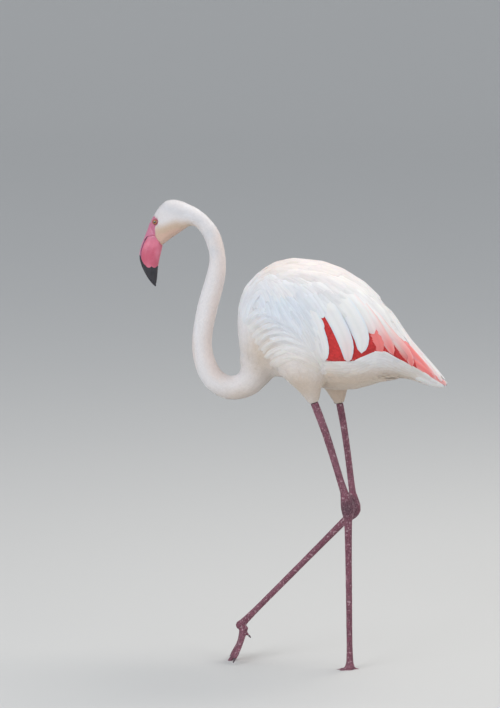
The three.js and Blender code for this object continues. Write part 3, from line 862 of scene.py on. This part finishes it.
def plumes(name, paths, widths, lifts, tilts, blunts, colours, seed, arch=0.9):
    """One joined piece of plumes. A lift is how far a plume's middle lies above the outline and a
    tilt how much higher its lower edge is, both in millimetres. colours(i, share, across) paints one."""
    draw = np.random.default_rng(seed)
    count = len(paths)
    shares = np.linspace(0, 1, PLUME_STEPS)
    shares = 1 - (1 - shares) ** 1.25  # closer together toward the tip
    cross = np.linspace(-1, 1, PLUME_ACROSS)
    per = PLUME_STEPS * PLUME_ACROSS
    top = np.zeros((count, PLUME_STEPS, PLUME_ACROSS, 3))
    low = np.zeros_like(top)
    tint = np.zeros_like(top)
    vanes = np.zeros_like(top)
    roots = np.zeros((count, 3))
    for i, path in enumerate(paths):
        even = np.linspace(0, 1, len(path))
        at = np.stack([np.interp(shares, even, path[:, k]) for k in range(3)], axis=1)
        place, out, _ = on_outline(at)
        out = unit(out + out.mean(axis=0) * 0.5)
        run = unit(np.gradient(place, axis=0))
        across = unit(np.cross(out, run))
        across = across * np.sign(-across[:, 2].mean() or 1)
        half = plume_half(shares, blunts[i]) * widths[i] * MM / 2
        spot_at = place[:, None] + across[:, None] * (half[:, None] * cross[None])[:, :, None]
        flat_place, flat_out, _ = on_outline(spot_at.reshape(-1, 3))
        flat_place = flat_place.reshape(spot_at.shape)
        flat_out = unit(flat_out.reshape(spot_at.shape) + out[:, None])
        wave = 0.25 * np.sin(shares * 9 + draw.uniform(0, 6))[:, None] * cross[None]
        grow = smooth_step(-0.1, 0.4, shares)[:, None]
        bulge = arch * (1 - cross**2)[None] * (half / (half.max() + 1e-9))[:, None]
        height = lifts[i] * grow - ROOT_DEPTH * (1 - grow) + (tilts[i] * cross[None] + wave + bulge) * grow
        ripple = ripple_height(flat_place.reshape(-1, 3)).reshape(height.shape)
        top[i] = flat_place + flat_out * (height * MM + ripple)[:, :, None]
        low[i] = top[i] - flat_out * PLUME_THICKNESS
        tint[i] = colours(i, shares[:, None] + 0 * cross[None], cross[None] + 0 * shares[:, None])
        length = np.concatenate([[0], np.cumsum(np.linalg.norm(np.diff(place, axis=0), axis=1))])
        vanes[i, :, :, 0] = length[:, None] / MM
        vanes[i, :, :, 1] = half[:, None] * cross[None] / MM
        vanes[i, :, :, 2] = draw.uniform(0, 100)
        roots[i] = place[PLUME_STEPS // 2]
    j, k = np.meshgrid(np.arange(PLUME_STEPS - 1), np.arange(PLUME_ACROSS - 1), indexing="ij")
    a = (j * PLUME_ACROSS + k).ravel()
    upper = np.stack([a, a + 1, a + PLUME_ACROSS + 1, a + PLUME_ACROSS], axis=1)
    lower = upper[:, ::-1] + per
    rim = ring_of(PLUME_STEPS, PLUME_ACROSS)
    on_rim = np.zeros(2 * per, bool)
    on_rim[np.concatenate([rim, rim + per])] = True
    after = np.roll(rim, -1)
    edge = np.stack([after, rim, rim + per, after + per], axis=1)
    quads = np.vstack([upper, lower, edge])
    faces = (quads[None] + (np.arange(count) * 2 * per)[:, None, None]).reshape(-1, 4)
    points = np.concatenate([top.reshape(count, per, 3), low.reshape(count, per, 3)], axis=1).reshape(-1, 3)
    patch = np.stack([np.tile(cross * 0.5 + 0.5, PLUME_STEPS), np.repeat(shares, PLUME_ACROSS)], axis=1)
    places = unrolled(roots)[:, None] + np.tile(patch * PATCH, (2, 1))[None]
    tint = np.clip(on_both_faces(tint, count), 0, 0.97)
    vanes = on_both_faces(vanes, count)
    joined_mesh(name, points, [faces], tint, vanes, places.reshape(-1, 2), np.tile(on_rim, count))


def painted(base, tip, start, share, across, edge=None):
    """Base colour turning to the tip's from start on, with paler edges if given, and a little painted shade
    along the lower edge.
    """
    t = smooth_step(start, 1, share)[..., None]
    colour = base * (1 - t) + tip * t
    if edge is not None:
        e = (smooth_step(0.55, 1.0, np.abs(across)) * smooth_step(0.2, 0.5, share))[..., None]
        colour = colour * (1 - e) + edge * e
    shaft = np.exp(-((across / 0.06) ** 2))[..., None]
    # Painted shade along the lower edge of each plume.
    shaded = smooth_step(0.75, 1.0, across)[..., None]
    return colour * (1 - 0.05 * shaft - 0.07 * shaded)


# The rows nearest the tail lie lowest and are listed first. Each row: path in the side view, width,
# lift, tilt, bluntness of the tip, colour at base, at tip and where it turns, and the edge's colour.
# The cool shade on the edges of the three front rows is painted shade.
WING_PLUMES = [
    ([(158, 650), (186, 617), (217, 585), (235, 563), (247, 546)],
     16, -0.8, -0.6, 0.2, ROSE, ROSE, 0.9, PINK),
    ([(166, 654), (190, 628), (218, 598), (238, 572), (250, 554)],
     13, 0.2, -0.6, 0.2, ROSE, PINK, 0.5, PINK),
    ([(178, 646), (214, 605), (238, 576), (253, 556), (264, 542)],
     16, 0.6, -0.7, 0.15, SALMON, PINK, 0.6, BLUSH),
    ([(191, 646), (224, 615), (250, 584), (266, 563), (277, 545)],
     12, 1.3, -0.6, 0.12, BLUSH, BLUSH, 0.5, WHITE),
    ([(196, 600), (225, 580), (252, 558), (272, 543), (284, 535)],
     14, 0.6, -0.4, 0.2, SALMON, PINK, 0.6, BLUSH),
    ([(200, 566), (226, 553), (250, 543), (268, 537), (280, 534)],
     13, 0.5, -0.4, 0.2, WHITE, WHITE, 0.5, WHITE),
    ([(134, 724), (160, 700), (188, 666), (212, 632), (232, 602)],
     22, 0.9, -0.5, 0.25, WHITE, WHITE, 0.5, ROSY),
    ([(146, 714), (175, 683), (202, 648), (226, 614), (246, 584)],
     24, 1.1, -0.6, 0.25, WHITE, WHITE, 0.5, ROSY),
    ([(162, 694), (186, 662), (212, 628), (238, 594), (258, 567)],
     20, 1.0, -0.6, 0.2, WHITE, WHITE, 0.5, ROSY),
    ([(133, 690), (160, 655), (186, 622), (206, 597), (222, 576)],
     18, 0.6, -0.8, 0.25, ROSY, CRIMSON, 0.45, SALMON),
    ([(92, 716), (122, 682), (142, 652), (153, 626), (156, 604)],
     23, 0.4, -0.7, 0.3, SALMON, SALMON, 0.3, SALMON),
    ([(103, 722), (139, 683), (165, 650), (191, 620), (209, 597), (214, 576)],
     20, 1.1, -0.8, 0.25, WHITE, SALMON, 0.4, PINK),
    ([(124, 735), (154, 699), (178, 668), (204, 636), (226, 607), (243, 585)],
     22, 1.7, -0.8, 0.25, WHITE, BLUSH, 0.5, WHITE),
    ([(83, 729), (119, 696), (142, 667), (160, 639), (173, 618), (179, 602)],
     21, 1.3, -0.8, 0.3, WHITE, SALMON, 0.45, PINK),
    ([(66, 740), (96, 712), (118, 687), (132, 665), (144, 641)],
     26, 1.2, -0.8, 0.3, WHITE, BLUSH, 0.7, BLUSH),
    ([(48, 736), (80, 708), (103, 677), (117, 650), (123, 629), (121, 608)],
     32, 1.6, -0.9, 0.35, WHITE, WHITE, 0.6, COOL_SHADE),
    ([(24, 726), (58, 694), (79, 661), (92, 632), (97, 611), (97, 592)],
     28, 1.6, -0.8, 0.35, WHITE, BLUSH, 0.55, COOL_SHADE),
    ([(-2, 730), (23, 700), (39, 670), (49, 641), (55, 616), (56, 594)],
     18, 0.9, -0.5, 0.2, WHITE, WHITE, 0.6, COOL_SHADE),
]


def wing_colours(i, share, across):
    base, tip, start, edge = WING_PLUMES[i][5:]
    return painted(base, tip, start, share, across, edge)


wing_paths, *wing_sizes = zip(*[row[:5] for row in WING_PLUMES])
for side_name, side in SIDES.items():
    paths = [plume_paths(path, side) for path in wing_paths]
    plumes(f"plumes_{side_name}", paths, *wing_sizes, wing_colours, seed=300)

# Hackles. Narrow, soft feathers run up from the breast over the shoulder, and a few lie across where
# the lay parts at the wing's bend. Both kinds fan out between a first and a last path.
COLLAR_FIRST = [(-99, 632), (-98, 664), (-91, 693), (-77, 716)]
COLLAR_LAST = [(-80, 724), (-62, 744), (-38, 756), (-12, 761)]
COLLAR_COUNT = 46
COLLAR_WIDTH = 9.0
BEND_FIRST = [(-84, 722), (-70, 726), (-56, 714), (-48, 694)]
BEND_LAST = [(-68, 748), (-42, 748), (-16, 732), (6, 708)]
BEND_COUNT = 20
BEND_WIDTH = 9.5


def soft_lanes(name, paths, width, lifts, seed):
    """Narrow, soft feathers along paths, in the colours of the place they lie on."""
    draw = np.random.default_rng(seed)
    base = ground(np.array([path[len(path) // 2] for path in paths]))
    shade = draw.uniform(0.96, 1.02, len(paths))

    def lane_colours(i, share, across):
        return painted(base[i] * shade[i], base[i] * shade[i], 0.6, share, across)

    count = len(paths)
    widths = width * draw.uniform(0.85, 1.15, count)
    plumes(name, paths, widths, lifts, np.zeros(count), np.full(count, 0.5), lane_colours, seed, 0.5)


def fan(first, last, count, scatter, draw):
    """Paths at random between the first and the last, each moved aside by up to the scatter."""
    share = draw.random(count)[:, None, None]
    between = np.array(first) * (1 - share) + np.array(last) * share
    return between + draw.uniform(-scatter, scatter, (count, 1, 2))


side_draws = {side_name: np.random.default_rng(320) for side_name in SIDES}
for side_name, side in SIDES.items():
    draw = side_draws[side_name]
    rows = fan(COLLAR_FIRST, COLLAR_LAST, COLLAR_COUNT, 9, draw)
    paths = [plume_paths(row, side) for row in rows]
    soft_lanes(f"collar_{side_name}", paths, COLLAR_WIDTH, np.full(COLLAR_COUNT, 0.5), seed=321)
    rows = fan(BEND_FIRST, BEND_LAST, BEND_COUNT, 4, draw)
    paths = [plume_paths(row, side) for row in rows]
    lifts = draw.uniform(0.6, 1.2, BEND_COUNT)
    soft_lanes(f"bend_{side_name}", paths, BEND_WIDTH, lifts, seed=324)

# Flank rolls. The long, loose feathers of the flank stand up in soft ripples. Each roll is a ridge of
# narrow feathers side by side along its line, and they start one behind the other.
ROLL_LANES = (-1.0, -0.33, 0.33, 1.0)
ROLL_SPREAD = 4.6  # millimetres from the roll's line to its outer lanes
ROLL_STARTS = range(-6, 46, 8)  # steps along the roll's line
ROLL_WIDTH = 5.2
for side_name, side in SIDES.items():
    draw = side_draws[side_name]
    paths = []
    for line in roll_lines:
        aside = unit(np.gradient(line, axis=0))[:, ::-1] * np.array([-1, 1])
        for lane in ROLL_LANES:
            for begin in ROLL_STARTS:
                first = int(np.clip(begin + draw.integers(-3, 4), 0, 40))
                last = min(first + int(draw.integers(20, 27)), LINE_STEPS - 1)
                part = (line + aside * (lane * ROLL_SPREAD + draw.uniform(-0.8, 0.8)))[first:last + 1:2]
                paths.append(from_side(part, side))
    lifts = draw.uniform(-0.1, 0.5, len(paths))
    soft_lanes(f"flank_rolls_{side_name}", paths, ROLL_WIDTH, lifts, seed=322)

# Belly fold. Below the wing's lower edge the belly's feathers start in a soft white fold. It is made
# of lanes of narrow feathers that run back under the wing's edge and lie lower from lane to lane.
BELLY_LANES = (-2.0, -7.0, -12.5, -18.5, -25.0)  # millimetres below the fold's edge
LANE_NARROWING = [(40, 1), (150, 1), (230, 0.7), (290, 0.4)]  # the lanes' spread along the belly
LANE_STEPS = 12  # points on a lane's path
FOLD_STARTS = np.arange(44, 240, 11.0)
FOLD_WIDTH = 9.0
BELLY_EDGE = [(40, 588), (50, 590), (110, 592), (128, 600), (146, 608), (164, 606), (184, 594),
              (214, 577), (262, 543), (290, 530)]
for side_name, side in SIDES.items():
    draw = side_draws[side_name]
    paths = []
    lifts = []
    for lane, drop in enumerate(BELLY_LANES):
        for begin in FOLD_STARTS:
            x = begin + draw.uniform(-4, 4) + np.linspace(0, draw.uniform(34, 48), LANE_STEPS)
            z = edge_at(BELLY_EDGE, x) + drop * edge_at(LANE_NARROWING, x) + draw.uniform(-1, 1)
            paths.append(from_side(zip(x, z), side))
            lifts.append(0.9 - 0.25 * lane)
    soft_lanes(f"belly_fold_{side_name}", paths, FOLD_WIDTH, np.array(lifts), seed=323)

# Shoulder and mantle. White contour feathers lie over the wing's bend and over the back, short and
# narrow on the shoulder, broad on the mantle. They start in a grid and follow the lay from there.
GRID_X = (-95, 230)
GRID_Z = (600, 772)
ZONE_SPREAD = 0.05  # how far the feathers turn aside
TOP_EDGE = [(-95, 700), (-70, 745), (-45, 763), (-10, 773), (36, 771), (82, 755), (129, 729), (157, 704),
            (186, 657), (217, 615), (248, 582)]
SHOULDER_REAR_EDGE = [(600, 44), (640, 42), (676, 34), (700, 24), (740, 0)]  # z and x
SHOULDER_TOP = 756
MANTLE_LOWER_EDGE = [(-60, 738), (-20, 728), (30, 706), (60, 712), (100, 708), (130, 698), (160, 686),
                     (190, 652)]


def in_shoulder(x, z):
    low = edge_at(WING_FRONT_EDGE, x) + 14
    high = min(edge_at(TOP_EDGE, x) - 8, SHOULDER_TOP)
    return x < edge_at(SHOULDER_REAR_EDGE, z) and low < z < high


def in_mantle(x, z):
    return edge_at(MANTLE_LOWER_EDGE, x) < z < edge_at(TOP_EDGE, x) - 4


def grid_starts(pitch, inside, seed):
    """Places in the side view about one pitch apart, row by row."""
    draw = np.random.default_rng(seed)
    found = []
    for row, z in enumerate(np.arange(*GRID_Z, pitch)):
        for x in np.arange(*GRID_X, pitch):
            at = (x + pitch * 0.5 * (row % 2) + draw.uniform(-2, 2), z + draw.uniform(-2, 2))
            if inside(*at):
                found.append(at)
    return found


def traced_paths(starts, lengths, side, seed):
    """Paths that follow the lay from each start."""
    draw = np.random.default_rng(seed)
    roots = from_side(starts, side)
    shares = np.linspace(0, 1, PLUME_STEPS)
    rings = traced(roots, lengths * MM, shares, draw.normal(0, ZONE_SPREAD, len(roots)))
    return np.stack([ring[0] for ring in rings], axis=1)


ZONES = [
    # name, where, pitch, length, width and lift in millimetres
    ("shoulder", in_shoulder, 6.4, 55, 9.0, 0.4),
    ("mantle", in_mantle, 10.5, 60, 17.0, 0.9),
]
for side_name, side in SIDES.items():
    for zone, inside, pitch, length, width, lift in ZONES:
        starts = grid_starts(pitch / DENSITY**0.5, inside, seed=310)
        count = len(starts)
        draw = np.random.default_rng(311)
        lengths = length * draw.uniform(0.85, 1.15, count)
        paths = traced_paths(starts, lengths, side, seed=312)
        base = ground(paths[:, PLUME_STEPS // 2])
        shade = draw.uniform(0.91, 1.03, count)

        def zone_colours(i, share, across):
            return painted(base[i] * shade[i], base[i] * shade[i] * 1.02, 0.6, share, across)

        widths = width * draw.uniform(0.85, 1.15, count)
        lifts = lift + draw.uniform(-0.3, 0.3, count)
        tilts = np.full(count, -0.5)
        blunts = np.full(count, 0.3)
        plumes(f"{zone}_{side_name}", paths, widths, lifts, tilts, blunts, zone_colours, seed=313)

# Back. Along its middle, broad white feathers cover the line where the two sides' feathers meet. They
# run in lanes from the shoulders to the tail's tip, and the lanes close up toward it.
RIDGE_LANES = (-22, -11, 0, 11, 22)  # millimetres aside of the middle
RIDGE_STARTS = range(-72, 232, 24)
RIDGE_END = 275
RIDGE_LENGTH = 56
RIDGE_WIDTH = 17.0
RIDGE_NARROWING = [(-72, 0.8), (60, 1), (200, 0.55), (275, 0.25)]  # the lanes' spread along the back
OVERHEAD = 1200 * MM  # clear of the bird above
WITHIN = 550 * MM


def from_above(places):
    """The points of the outline straight below places over the back, x and y in millimetres."""
    points = []
    for x, y in places:
        found = outline_tree.ray_cast(Vector((x * MM, MIDDLE_Y + y * MM, OVERHEAD)), Vector((0, 0, -1)))
        if found[0] is None:
            found = outline_tree.find_nearest(Vector((x * MM, MIDDLE_Y + y * MM, WITHIN)))
        points.append(found[0])
    return np.array(points)


draw = np.random.default_rng(340)
paths = []
for lane, aside in enumerate(RIDGE_LANES):
    for begin in RIDGE_STARTS:
        start = begin + 12 * (lane % 2) + draw.uniform(-3, 3)
        x = start + np.linspace(0, min(RIDGE_LENGTH, RIDGE_END - start), LANE_STEPS)
        y = (aside + draw.uniform(-2, 2)) * edge_at(RIDGE_NARROWING, x)
        paths.append(from_above(zip(x, y)))
middles = [path[LANE_STEPS // 2][0] / MM for path in paths]
soft_lanes("back_ridge", paths, RIDGE_WIDTH, np.interp(middles, [0, 280], [1.5, 2.2]), seed=341)

# Bill. Horn in two halves, bent down in the middle: pink behind, black at the tip, with a slit of
# a nostril by the root. The upper half is a narrow lid on the deep, boat-shaped lower one. Each is
# made finer from its node. Places in the finish are in metres.
BILL_VOXEL = 0.62 * MM
BILL_SMOOTHING = 45
BILL_SWELLING = 0.4 * MM
BLACK_TOP_Z = 0.7535
SCALLOP_WIDTH = 0.0104
SCALLOP_START_X = -0.2568
CULMEN_X = -0.2668
NOSTRIL_X, NOSTRIL_Z = -0.2668, 0.8040
ROOT_Z = 0.797
MOUTH_SHADE_REACH = {"bill_upper": 1.6, "bill_lower": 1.0}  # millimetres of painted shade along the mouth, where the halves meet


def rebuilt(node, voxel, smoothing, swelling=0.0):
    """A finer, smoother copy of one CAD node that stands for it. Swelling makes up for the smoothing."""
    piece = copy_of(node)
    piece.name = f"fine_{node}"
    piece.data.materials.clear()
    apply_modifier(piece, "REMESH", mode="VOXEL", voxel_size=voxel, use_smooth_shade=True)
    apply_modifier(piece, "SMOOTH", factor=0.5, iterations=smoothing)
    co, normal = mesh_arrays(piece)
    set_points(piece, co + normal * swelling)
    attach(piece, "root")
    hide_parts(node)
    return piece


horn = Finish(
    "horn", Roughness=0.3, Specular_IOR_Level=0.55, Subsurface_Weight=0.08, Subsurface_Scale=0.002
)
height = horn.part(horn.place(), 2)
depth = horn.part(horn.place(), 0)
wave = horn.noise(55.0, 2.0)
# The black begins along a line with scallops at the side, and rises in front over the culmen.
scallop = ((depth - SCALLOP_START_X) * (math.pi / SCALLOP_WIDTH)).math("SINE").math("ABSOLUTE") * -0.003
front = (CULMEN_X - depth).math("MAXIMUM", 0.0) * 1.7
black = (height * -1.0 + BLACK_TOP_Z + scallop + front + wave * 0.001).over(-0.0005, 0.0005)
blotch = horn.noise(38.0, 3.0)
pink = horn.mixed(blotch.over(0.35, 0.7), (0.50, 0.09, 0.15, 1), (0.64, 0.18, 0.26, 1))
upper_half = horn.attribute("upper_half", "Fac")
pink = horn.mixed(upper_half * 0.8, pink, (0.56, 0.22, 0.33, 1))
base_flush = (height - ROOT_Z).over(0.0, 0.014)
pink = horn.mixed(base_flush * 0.8, pink, (0.52, 0.16, 0.25, 1))
# The rim is painted shade along the mouth's line, where the two halves meet.
rim = horn.attribute("rim", "Fac")
pink = horn.mixed(rim * 0.85 * (1.0 - base_flush), pink, (0.13, 0.04, 0.10, 1))
# The nostril is a slit along the mouth's line.
slit_along = (depth - NOSTRIL_X) * 0.6 + (height - NOSTRIL_Z) * 0.8
slit_across = (depth - NOSTRIL_X) * 0.8 - (height - NOSTRIL_Z) * 0.6
slit = slit_along.math("ABSOLUTE").over(0.0058, 0.0040) * slit_across.math("ABSOLUTE").over(0.0012, 0.0005)
pink = horn.mixed(slit * upper_half, pink, (0.05, 0.015, 0.03, 1))
dark = horn.mixed(horn.noise(120.0, 2.0), (0.012, 0.012, 0.016, 1), (0.035, 0.032, 0.042, 1))
horn.to("Base Color", horn.mixed(black, pink, dark))
horn.to("Roughness", horn.noise(160.0, 2.0) * 0.12 + 0.24 - black * 0.06)
horn.bump(horn.noise(420.0, 3.0) + horn.noise(70.0, 1.0), 0.25, 0.0005)
halves = {}
for node in ("bill_upper", "bill_lower"):
    half = rebuilt(node, BILL_VOXEL, BILL_SMOOTHING, BILL_SWELLING)
    half.data.materials.append(horn.material)
    halves[node] = half
# Each half's rim, near the other half, carries the painted shade along the mouth.
for node, other in (("bill_upper", "bill_lower"), ("bill_lower", "bill_upper")):
    co, _ = mesh_arrays(halves[node])
    other_co, _ = mesh_arrays(halves[other])
    other_tree = BVHTree.FromPolygons(other_co.tolist(), triangles_of(halves[other]).tolist())
    apart = np.array([other_tree.find_nearest(p)[3] for p in co.tolist()]) / MM
    reach = MOUTH_SHADE_REACH[node]
    give_layer(halves[node], "rim", "FLOAT", smooth_step(reach + 0.6, reach - 0.4, apart))
    give_layer(halves[node], "upper_half", "FLOAT", np.full(len(co), float(node == "bill_upper")))

# Eyes. Small and round with a yellow brown iris, a dark rim and a black pupil, and wet. Each ball is
# made finer from its node, and its finish follows how far a place is turned from the line of sight.
EYE_VOXEL = 0.45 * MM
EYE_SMOOTHING = 4
eye_finish = Finish("eye", Roughness=0.06, Coat_Weight=1.0, Coat_Roughness=0.03)
look = eye_finish.attribute("gaze", "Fac")
iris = eye_finish.mixed(eye_finish.noise(900.0, 2.0), (0.34, 0.11, 0.03, 1), (0.50, 0.22, 0.05, 1))
iris = eye_finish.mixed(look.over(0.76, 0.84), (0.16, 0.03, 0.02, 1), iris)
eye_finish.to("Base Color", eye_finish.mixed(look.over(0.91, 0.93), iris, (0.01, 0.008, 0.008, 1)))
for side_name, side in SIDES.items():
    ball = rebuilt(f"{side_name}_eye", EYE_VOXEL, EYE_SMOOTHING)
    ball.data.materials.append(eye_finish.material)
    co, _ = mesh_arrays(ball)
    centre = (co.min(axis=0) + co.max(axis=0)) / 2
    sight = unit(np.array([-0.28, side, 0.05]))
    give_layer(ball, "gaze", "FLOAT", unit(co - centre) @ sight)

# Eyelids. The bare skin swells in a soft, flat ring round each eye. Each ring is turned a little
# forward as the eye is, and is joined to the skin at the end.
LID_REACH = 4.9 * MM
LID_THICKNESS = 1.3 * MM
LID_SINK = 0.5 * MM  # how far the ring lies below where it would just touch the ball
LID_FLATNESS = 0.6
LID_COLOUR = (0.50, 0.15, 0.22)
lids = []
for side_name, side in SIDES.items():
    low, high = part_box(f"{side_name}_eye")
    middle = (Vector(low) + Vector(high)) / 2
    outward = Vector((-0.30, side, 0.04)).normalized()
    ball_radius = (high.z - low.z) / 2
    lift = (ball_radius**2 - LID_REACH**2) ** 0.5
    bpy.ops.mesh.primitive_torus_add(
        location=middle + outward * (lift - LID_SINK), rotation=outward.to_track_quat("Z", "X").to_euler(),
        major_radius=LID_REACH, minor_radius=LID_THICKNESS, major_segments=40, minor_segments=10,
    )
    lid = bpy.context.object
    lid.name = f"{side_name}_lid"
    lid.scale.z = LID_FLATNESS
    bpy.ops.object.transform_apply(location=True, rotation=True, scale=True)
    bpy.ops.object.shade_smooth()
    lid.data.materials.append(plumage.material)
    lid_points = mesh_arrays(lid)[0]
    give_tint(lid, np.repeat(np.array([LID_COLOUR]), len(lid_points), axis=0))
    give_layer(lid, "vane", "FLOAT_VECTOR", lid_points / MM)
    lids.append(lid)

# Legs. Bare skin in horny scutes, plum to maroon, darker and puffier on the ankle, with pale dust
# between the scutes. It is grown from copies of the legs' nodes, level with them.
LEG_PARTS = [f"{side_name}_{part}" for side_name in SIDES for part in ("shank", "ankle", "tarsus", "foot")]
LEG_VOXEL = 1.5 * MM
LEG_SMOOTHING = 3
RING_PITCH = 4.2  # millimetres between the rings across the front of shank and tarsus
ANKLE_REACH = (14, 12, 26)  # millimetres of darker skin about the ankle's middle
leg_skin = one_body("leg_skin", LEG_PARTS, LEG_VOXEL, LEG_SMOOTHING)
co, normal = mesh_arrays(leg_skin)
co = co - normal * CLOSING
co[:, 2] = np.maximum(co[:, 2], 0)  # the soles stay on the floor
set_points(leg_skin, co)
scutes = Finish("leg_scutes", Roughness=0.5, Specular_IOR_Level=0.4)
where = scutes.place()
cells = scutes.node("ShaderNodeTexVoronoi", {"feature": "DISTANCE_TO_EDGE"}, Vector=where, Scale=300.0)
tone = scutes.node("ShaderNodeTexVoronoi", output=1, Vector=where, Scale=300.0)
grey = scutes.node("ShaderNodeRGBToBW", Color=tone)
blotches = scutes.noise(24.0, 4.0)
colour = scutes.mixed(grey, (0.095, 0.024, 0.042, 1), (0.21, 0.055, 0.09, 1))
colour = scutes.mixed(blotches.over(0.5, 0.7) * 0.4, colour, (0.27, 0.11, 0.15, 1))
joint = scutes.attribute("joint", "Fac")
colour = scutes.mixed(joint * 0.85, colour, (0.045, 0.02, 0.032, 1))
groove = cells.over(0.0, 0.09)
speck = scutes.noise(240.0, 2.0).over(0.58, 0.68)
colour = scutes.mixed(speck * (0.5 - joint * 0.4), colour, (0.62, 0.44, 0.48, 1))
scutes.to("Base Color", scutes.mixed((1.0 - groove) * 0.3, colour, (0.50, 0.33, 0.38, 1)))
ring_phase = scutes.attribute("ring", "Fac") * (2 * math.pi / RING_PITCH) + scutes.noise(60.0, 2.0) * 3.0
scutes.bump(groove + ring_phase.math("SINE") * 0.35, 0.6, 0.0006)
leg_skin.data.materials.append(scutes.material)
co, _ = mesh_arrays(leg_skin)
on_joint = np.zeros(len(co))
along_leg = np.zeros(len(co))
for side_name in SIDES:
    low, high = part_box(f"{side_name}_ankle")
    middle = (np.array(low) + np.array(high)) / 2
    apart = np.linalg.norm((co - middle) / np.array(ANKLE_REACH) / MM, axis=1)
    on_joint = np.maximum(on_joint, smooth_step(1.15, 0.6, apart))
    own_side = (co[:, 1] - MIDDLE_Y) * (middle[1] - MIDDLE_Y) > 0
    tarsus_low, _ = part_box(f"{side_name}_tarsus")
    foot_end = np.array([tarsus_low.x, middle[1], tarsus_low.z])
    down = unit(foot_end - middle)
    along = np.where(co[:, 2] < middle[2], (co - middle) @ down, co[:, 2] - middle[2])
    along_leg = np.where(own_side, along / MM, along_leg)
give_layer(leg_skin, "joint", "FLOAT", on_joint)
give_layer(leg_skin, "ring", "FLOAT", along_leg)

# Claws. Short, blunt nails of dark, slightly rough horn at the toe tips. The nodes are shown in their
# own shape, with a finish of their own.
claw_finish = Finish("claw_horn", Roughness=0.42)
grain = claw_finish.noise(300.0, 3.0)
claw_finish.to("Base Color", claw_finish.mixed(grain, (0.035, 0.022, 0.03, 1), (0.10, 0.06, 0.075, 1)))
claw_finish.bump(grain, 0.3, 0.0002)
for side_name in SIDES:
    for toe in ("inner", "middle", "outer", "hallux"):
        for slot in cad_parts[f"{side_name}_claw_{toe}"].material_slots:
            slot.material = claw_finish.material

# One skin. The bare face runs forward over the root of the bill, the lids stand round the eyes and
# the legs' skin goes on up under the feathers of the thighs. All are joined, and stand for the flesh.
FACE_REAR_X = -225 * MM
LAP_FULL = 1.0 * MM  # the skin laps fully as near to the bill as this
LAP_NONE = 3.5 * MM  # and not at all farther off than this
TOWARD_BILL = np.array([-0.62, 0.0, -0.78])
LAP_FORWARD = 1.9 * MM
LAP_SWELLING = 0.55 * MM
upper, lower = halves["bill_upper"], halves["bill_lower"]
bill_points = np.vstack([mesh_arrays(upper)[0], mesh_arrays(lower)[0]])
bill_tris = np.vstack([triangles_of(upper), triangles_of(lower) + len(upper.data.vertices)])
bill_tree = BVHTree.FromPolygons(bill_points.tolist(), bill_tris.tolist())
co, normal = mesh_arrays(body_skin)
face = np.flatnonzero((co[:, 0] < FACE_REAR_X) & (co[:, 2] > FACE_LOW_Z * MM))
to_bill = np.full(len(co), 1.0)
to_bill[face] = [bill_tree.find_nearest(p)[3] for p in co[face].tolist()]
lap = smooth_step(LAP_NONE, LAP_FULL, to_bill)[:, None]
set_points(body_skin, co + lap * (TOWARD_BILL * LAP_FORWARD + normal * LAP_SWELLING))
alone(body_skin)
for part in (leg_skin, *lids):
    part.select_set(True)
bpy.ops.object.join()
skin = body_skin
skin.name = "skin"
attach(skin, "root")
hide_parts(*FLESH, *LEG_PARTS)

# The studio. A pale floor curves up into a pale wall far behind. A soft lamp stands above on the bird's
# right, a larger, cooler one before it on the camera's side and a weak one behind it.
SWEEP = [(-30, 0), (9, 0), (11, 0.1), (13, 0.7), (14.6, 1.9), (15.6, 3.6), (16, 6), (16, 12)]
SWEEP_HALF_WIDTH = 24
bpy.ops.mesh.primitive_grid_add(x_subdivisions=1, y_subdivisions=len(SWEEP) - 1, size=2)
studio = bpy.context.object
studio.name = "studio_floor"
for vertex in studio.data.vertices:
    step = round((vertex.co.y + 1) / 2 * (len(SWEEP) - 1))
    depth, height = SWEEP[step]
    vertex.co = (vertex.co.x * SWEEP_HALF_WIDTH, depth, height)
apply_modifier(studio, "SUBSURF", levels=3, render_levels=3)
bpy.ops.object.shade_smooth()
backdrop = Finish("studio_backdrop", Roughness=0.9)
mottle = backdrop.noise(1.5)
backdrop.to("Base Color", backdrop.mixed(mottle * 0.1, (0.56, 0.56, 0.55, 1), (0.51, 0.52, 0.53, 1)))
studio.data.materials.append(backdrop.material)

# The camera looks at the bird's left side from a little above, with a long lens.
EYE_LEVEL = 1.5194
VIEW_DISTANCE = 6.5
CAMERA_X = -0.0782
PITCH = math.radians(8.1)
bpy.ops.object.camera_add(
    location=(CAMERA_X, MIDDLE_Y - VIEW_DISTANCE, EYE_LEVEL), rotation=(math.pi / 2 - PITCH, 0, 0)
)
camera = bpy.context.object
camera.data.sensor_width = 36
camera.data.lens = 183.6
bpy.context.scene.camera = camera

LAMPS = [
    # name, place, size, power, colour
    ("key", (1.4, 0.6, 3.2), 1.8, 58, (1.0, 0.94, 0.86)),
    ("front", (-2.8, -3.2, 2.4), 2.6, 100, (0.95, 0.97, 1.0)),
    ("side", (3.4, -3.0, 1.6), 2.4, 30, (1.0, 0.97, 0.94)),
]
LIT_PLACE = Vector((0, 0, 0.6))
for name, place, size, power, colour in LAMPS:
    bpy.ops.object.light_add(type="AREA", location=place)
    lamp = bpy.context.object
    lamp.name = name
    lamp.data.size = size
    lamp.data.energy = power
    lamp.data.color = colour
    lamp.rotation_euler = (LIT_PLACE - Vector(place)).to_track_quat("-Z", "Y").to_euler()
bpy.context.scene.view_settings.view_transform = "Standard"
world = bpy.data.worlds.new("soft_sky")
bpy.context.scene.world = world
world.use_nodes = True
sky = world.node_tree.nodes["Background"]
sky.inputs["Color"].default_value = (0.9, 0.94, 1, 1)
sky.inputs["Strength"].default_value = 0.7
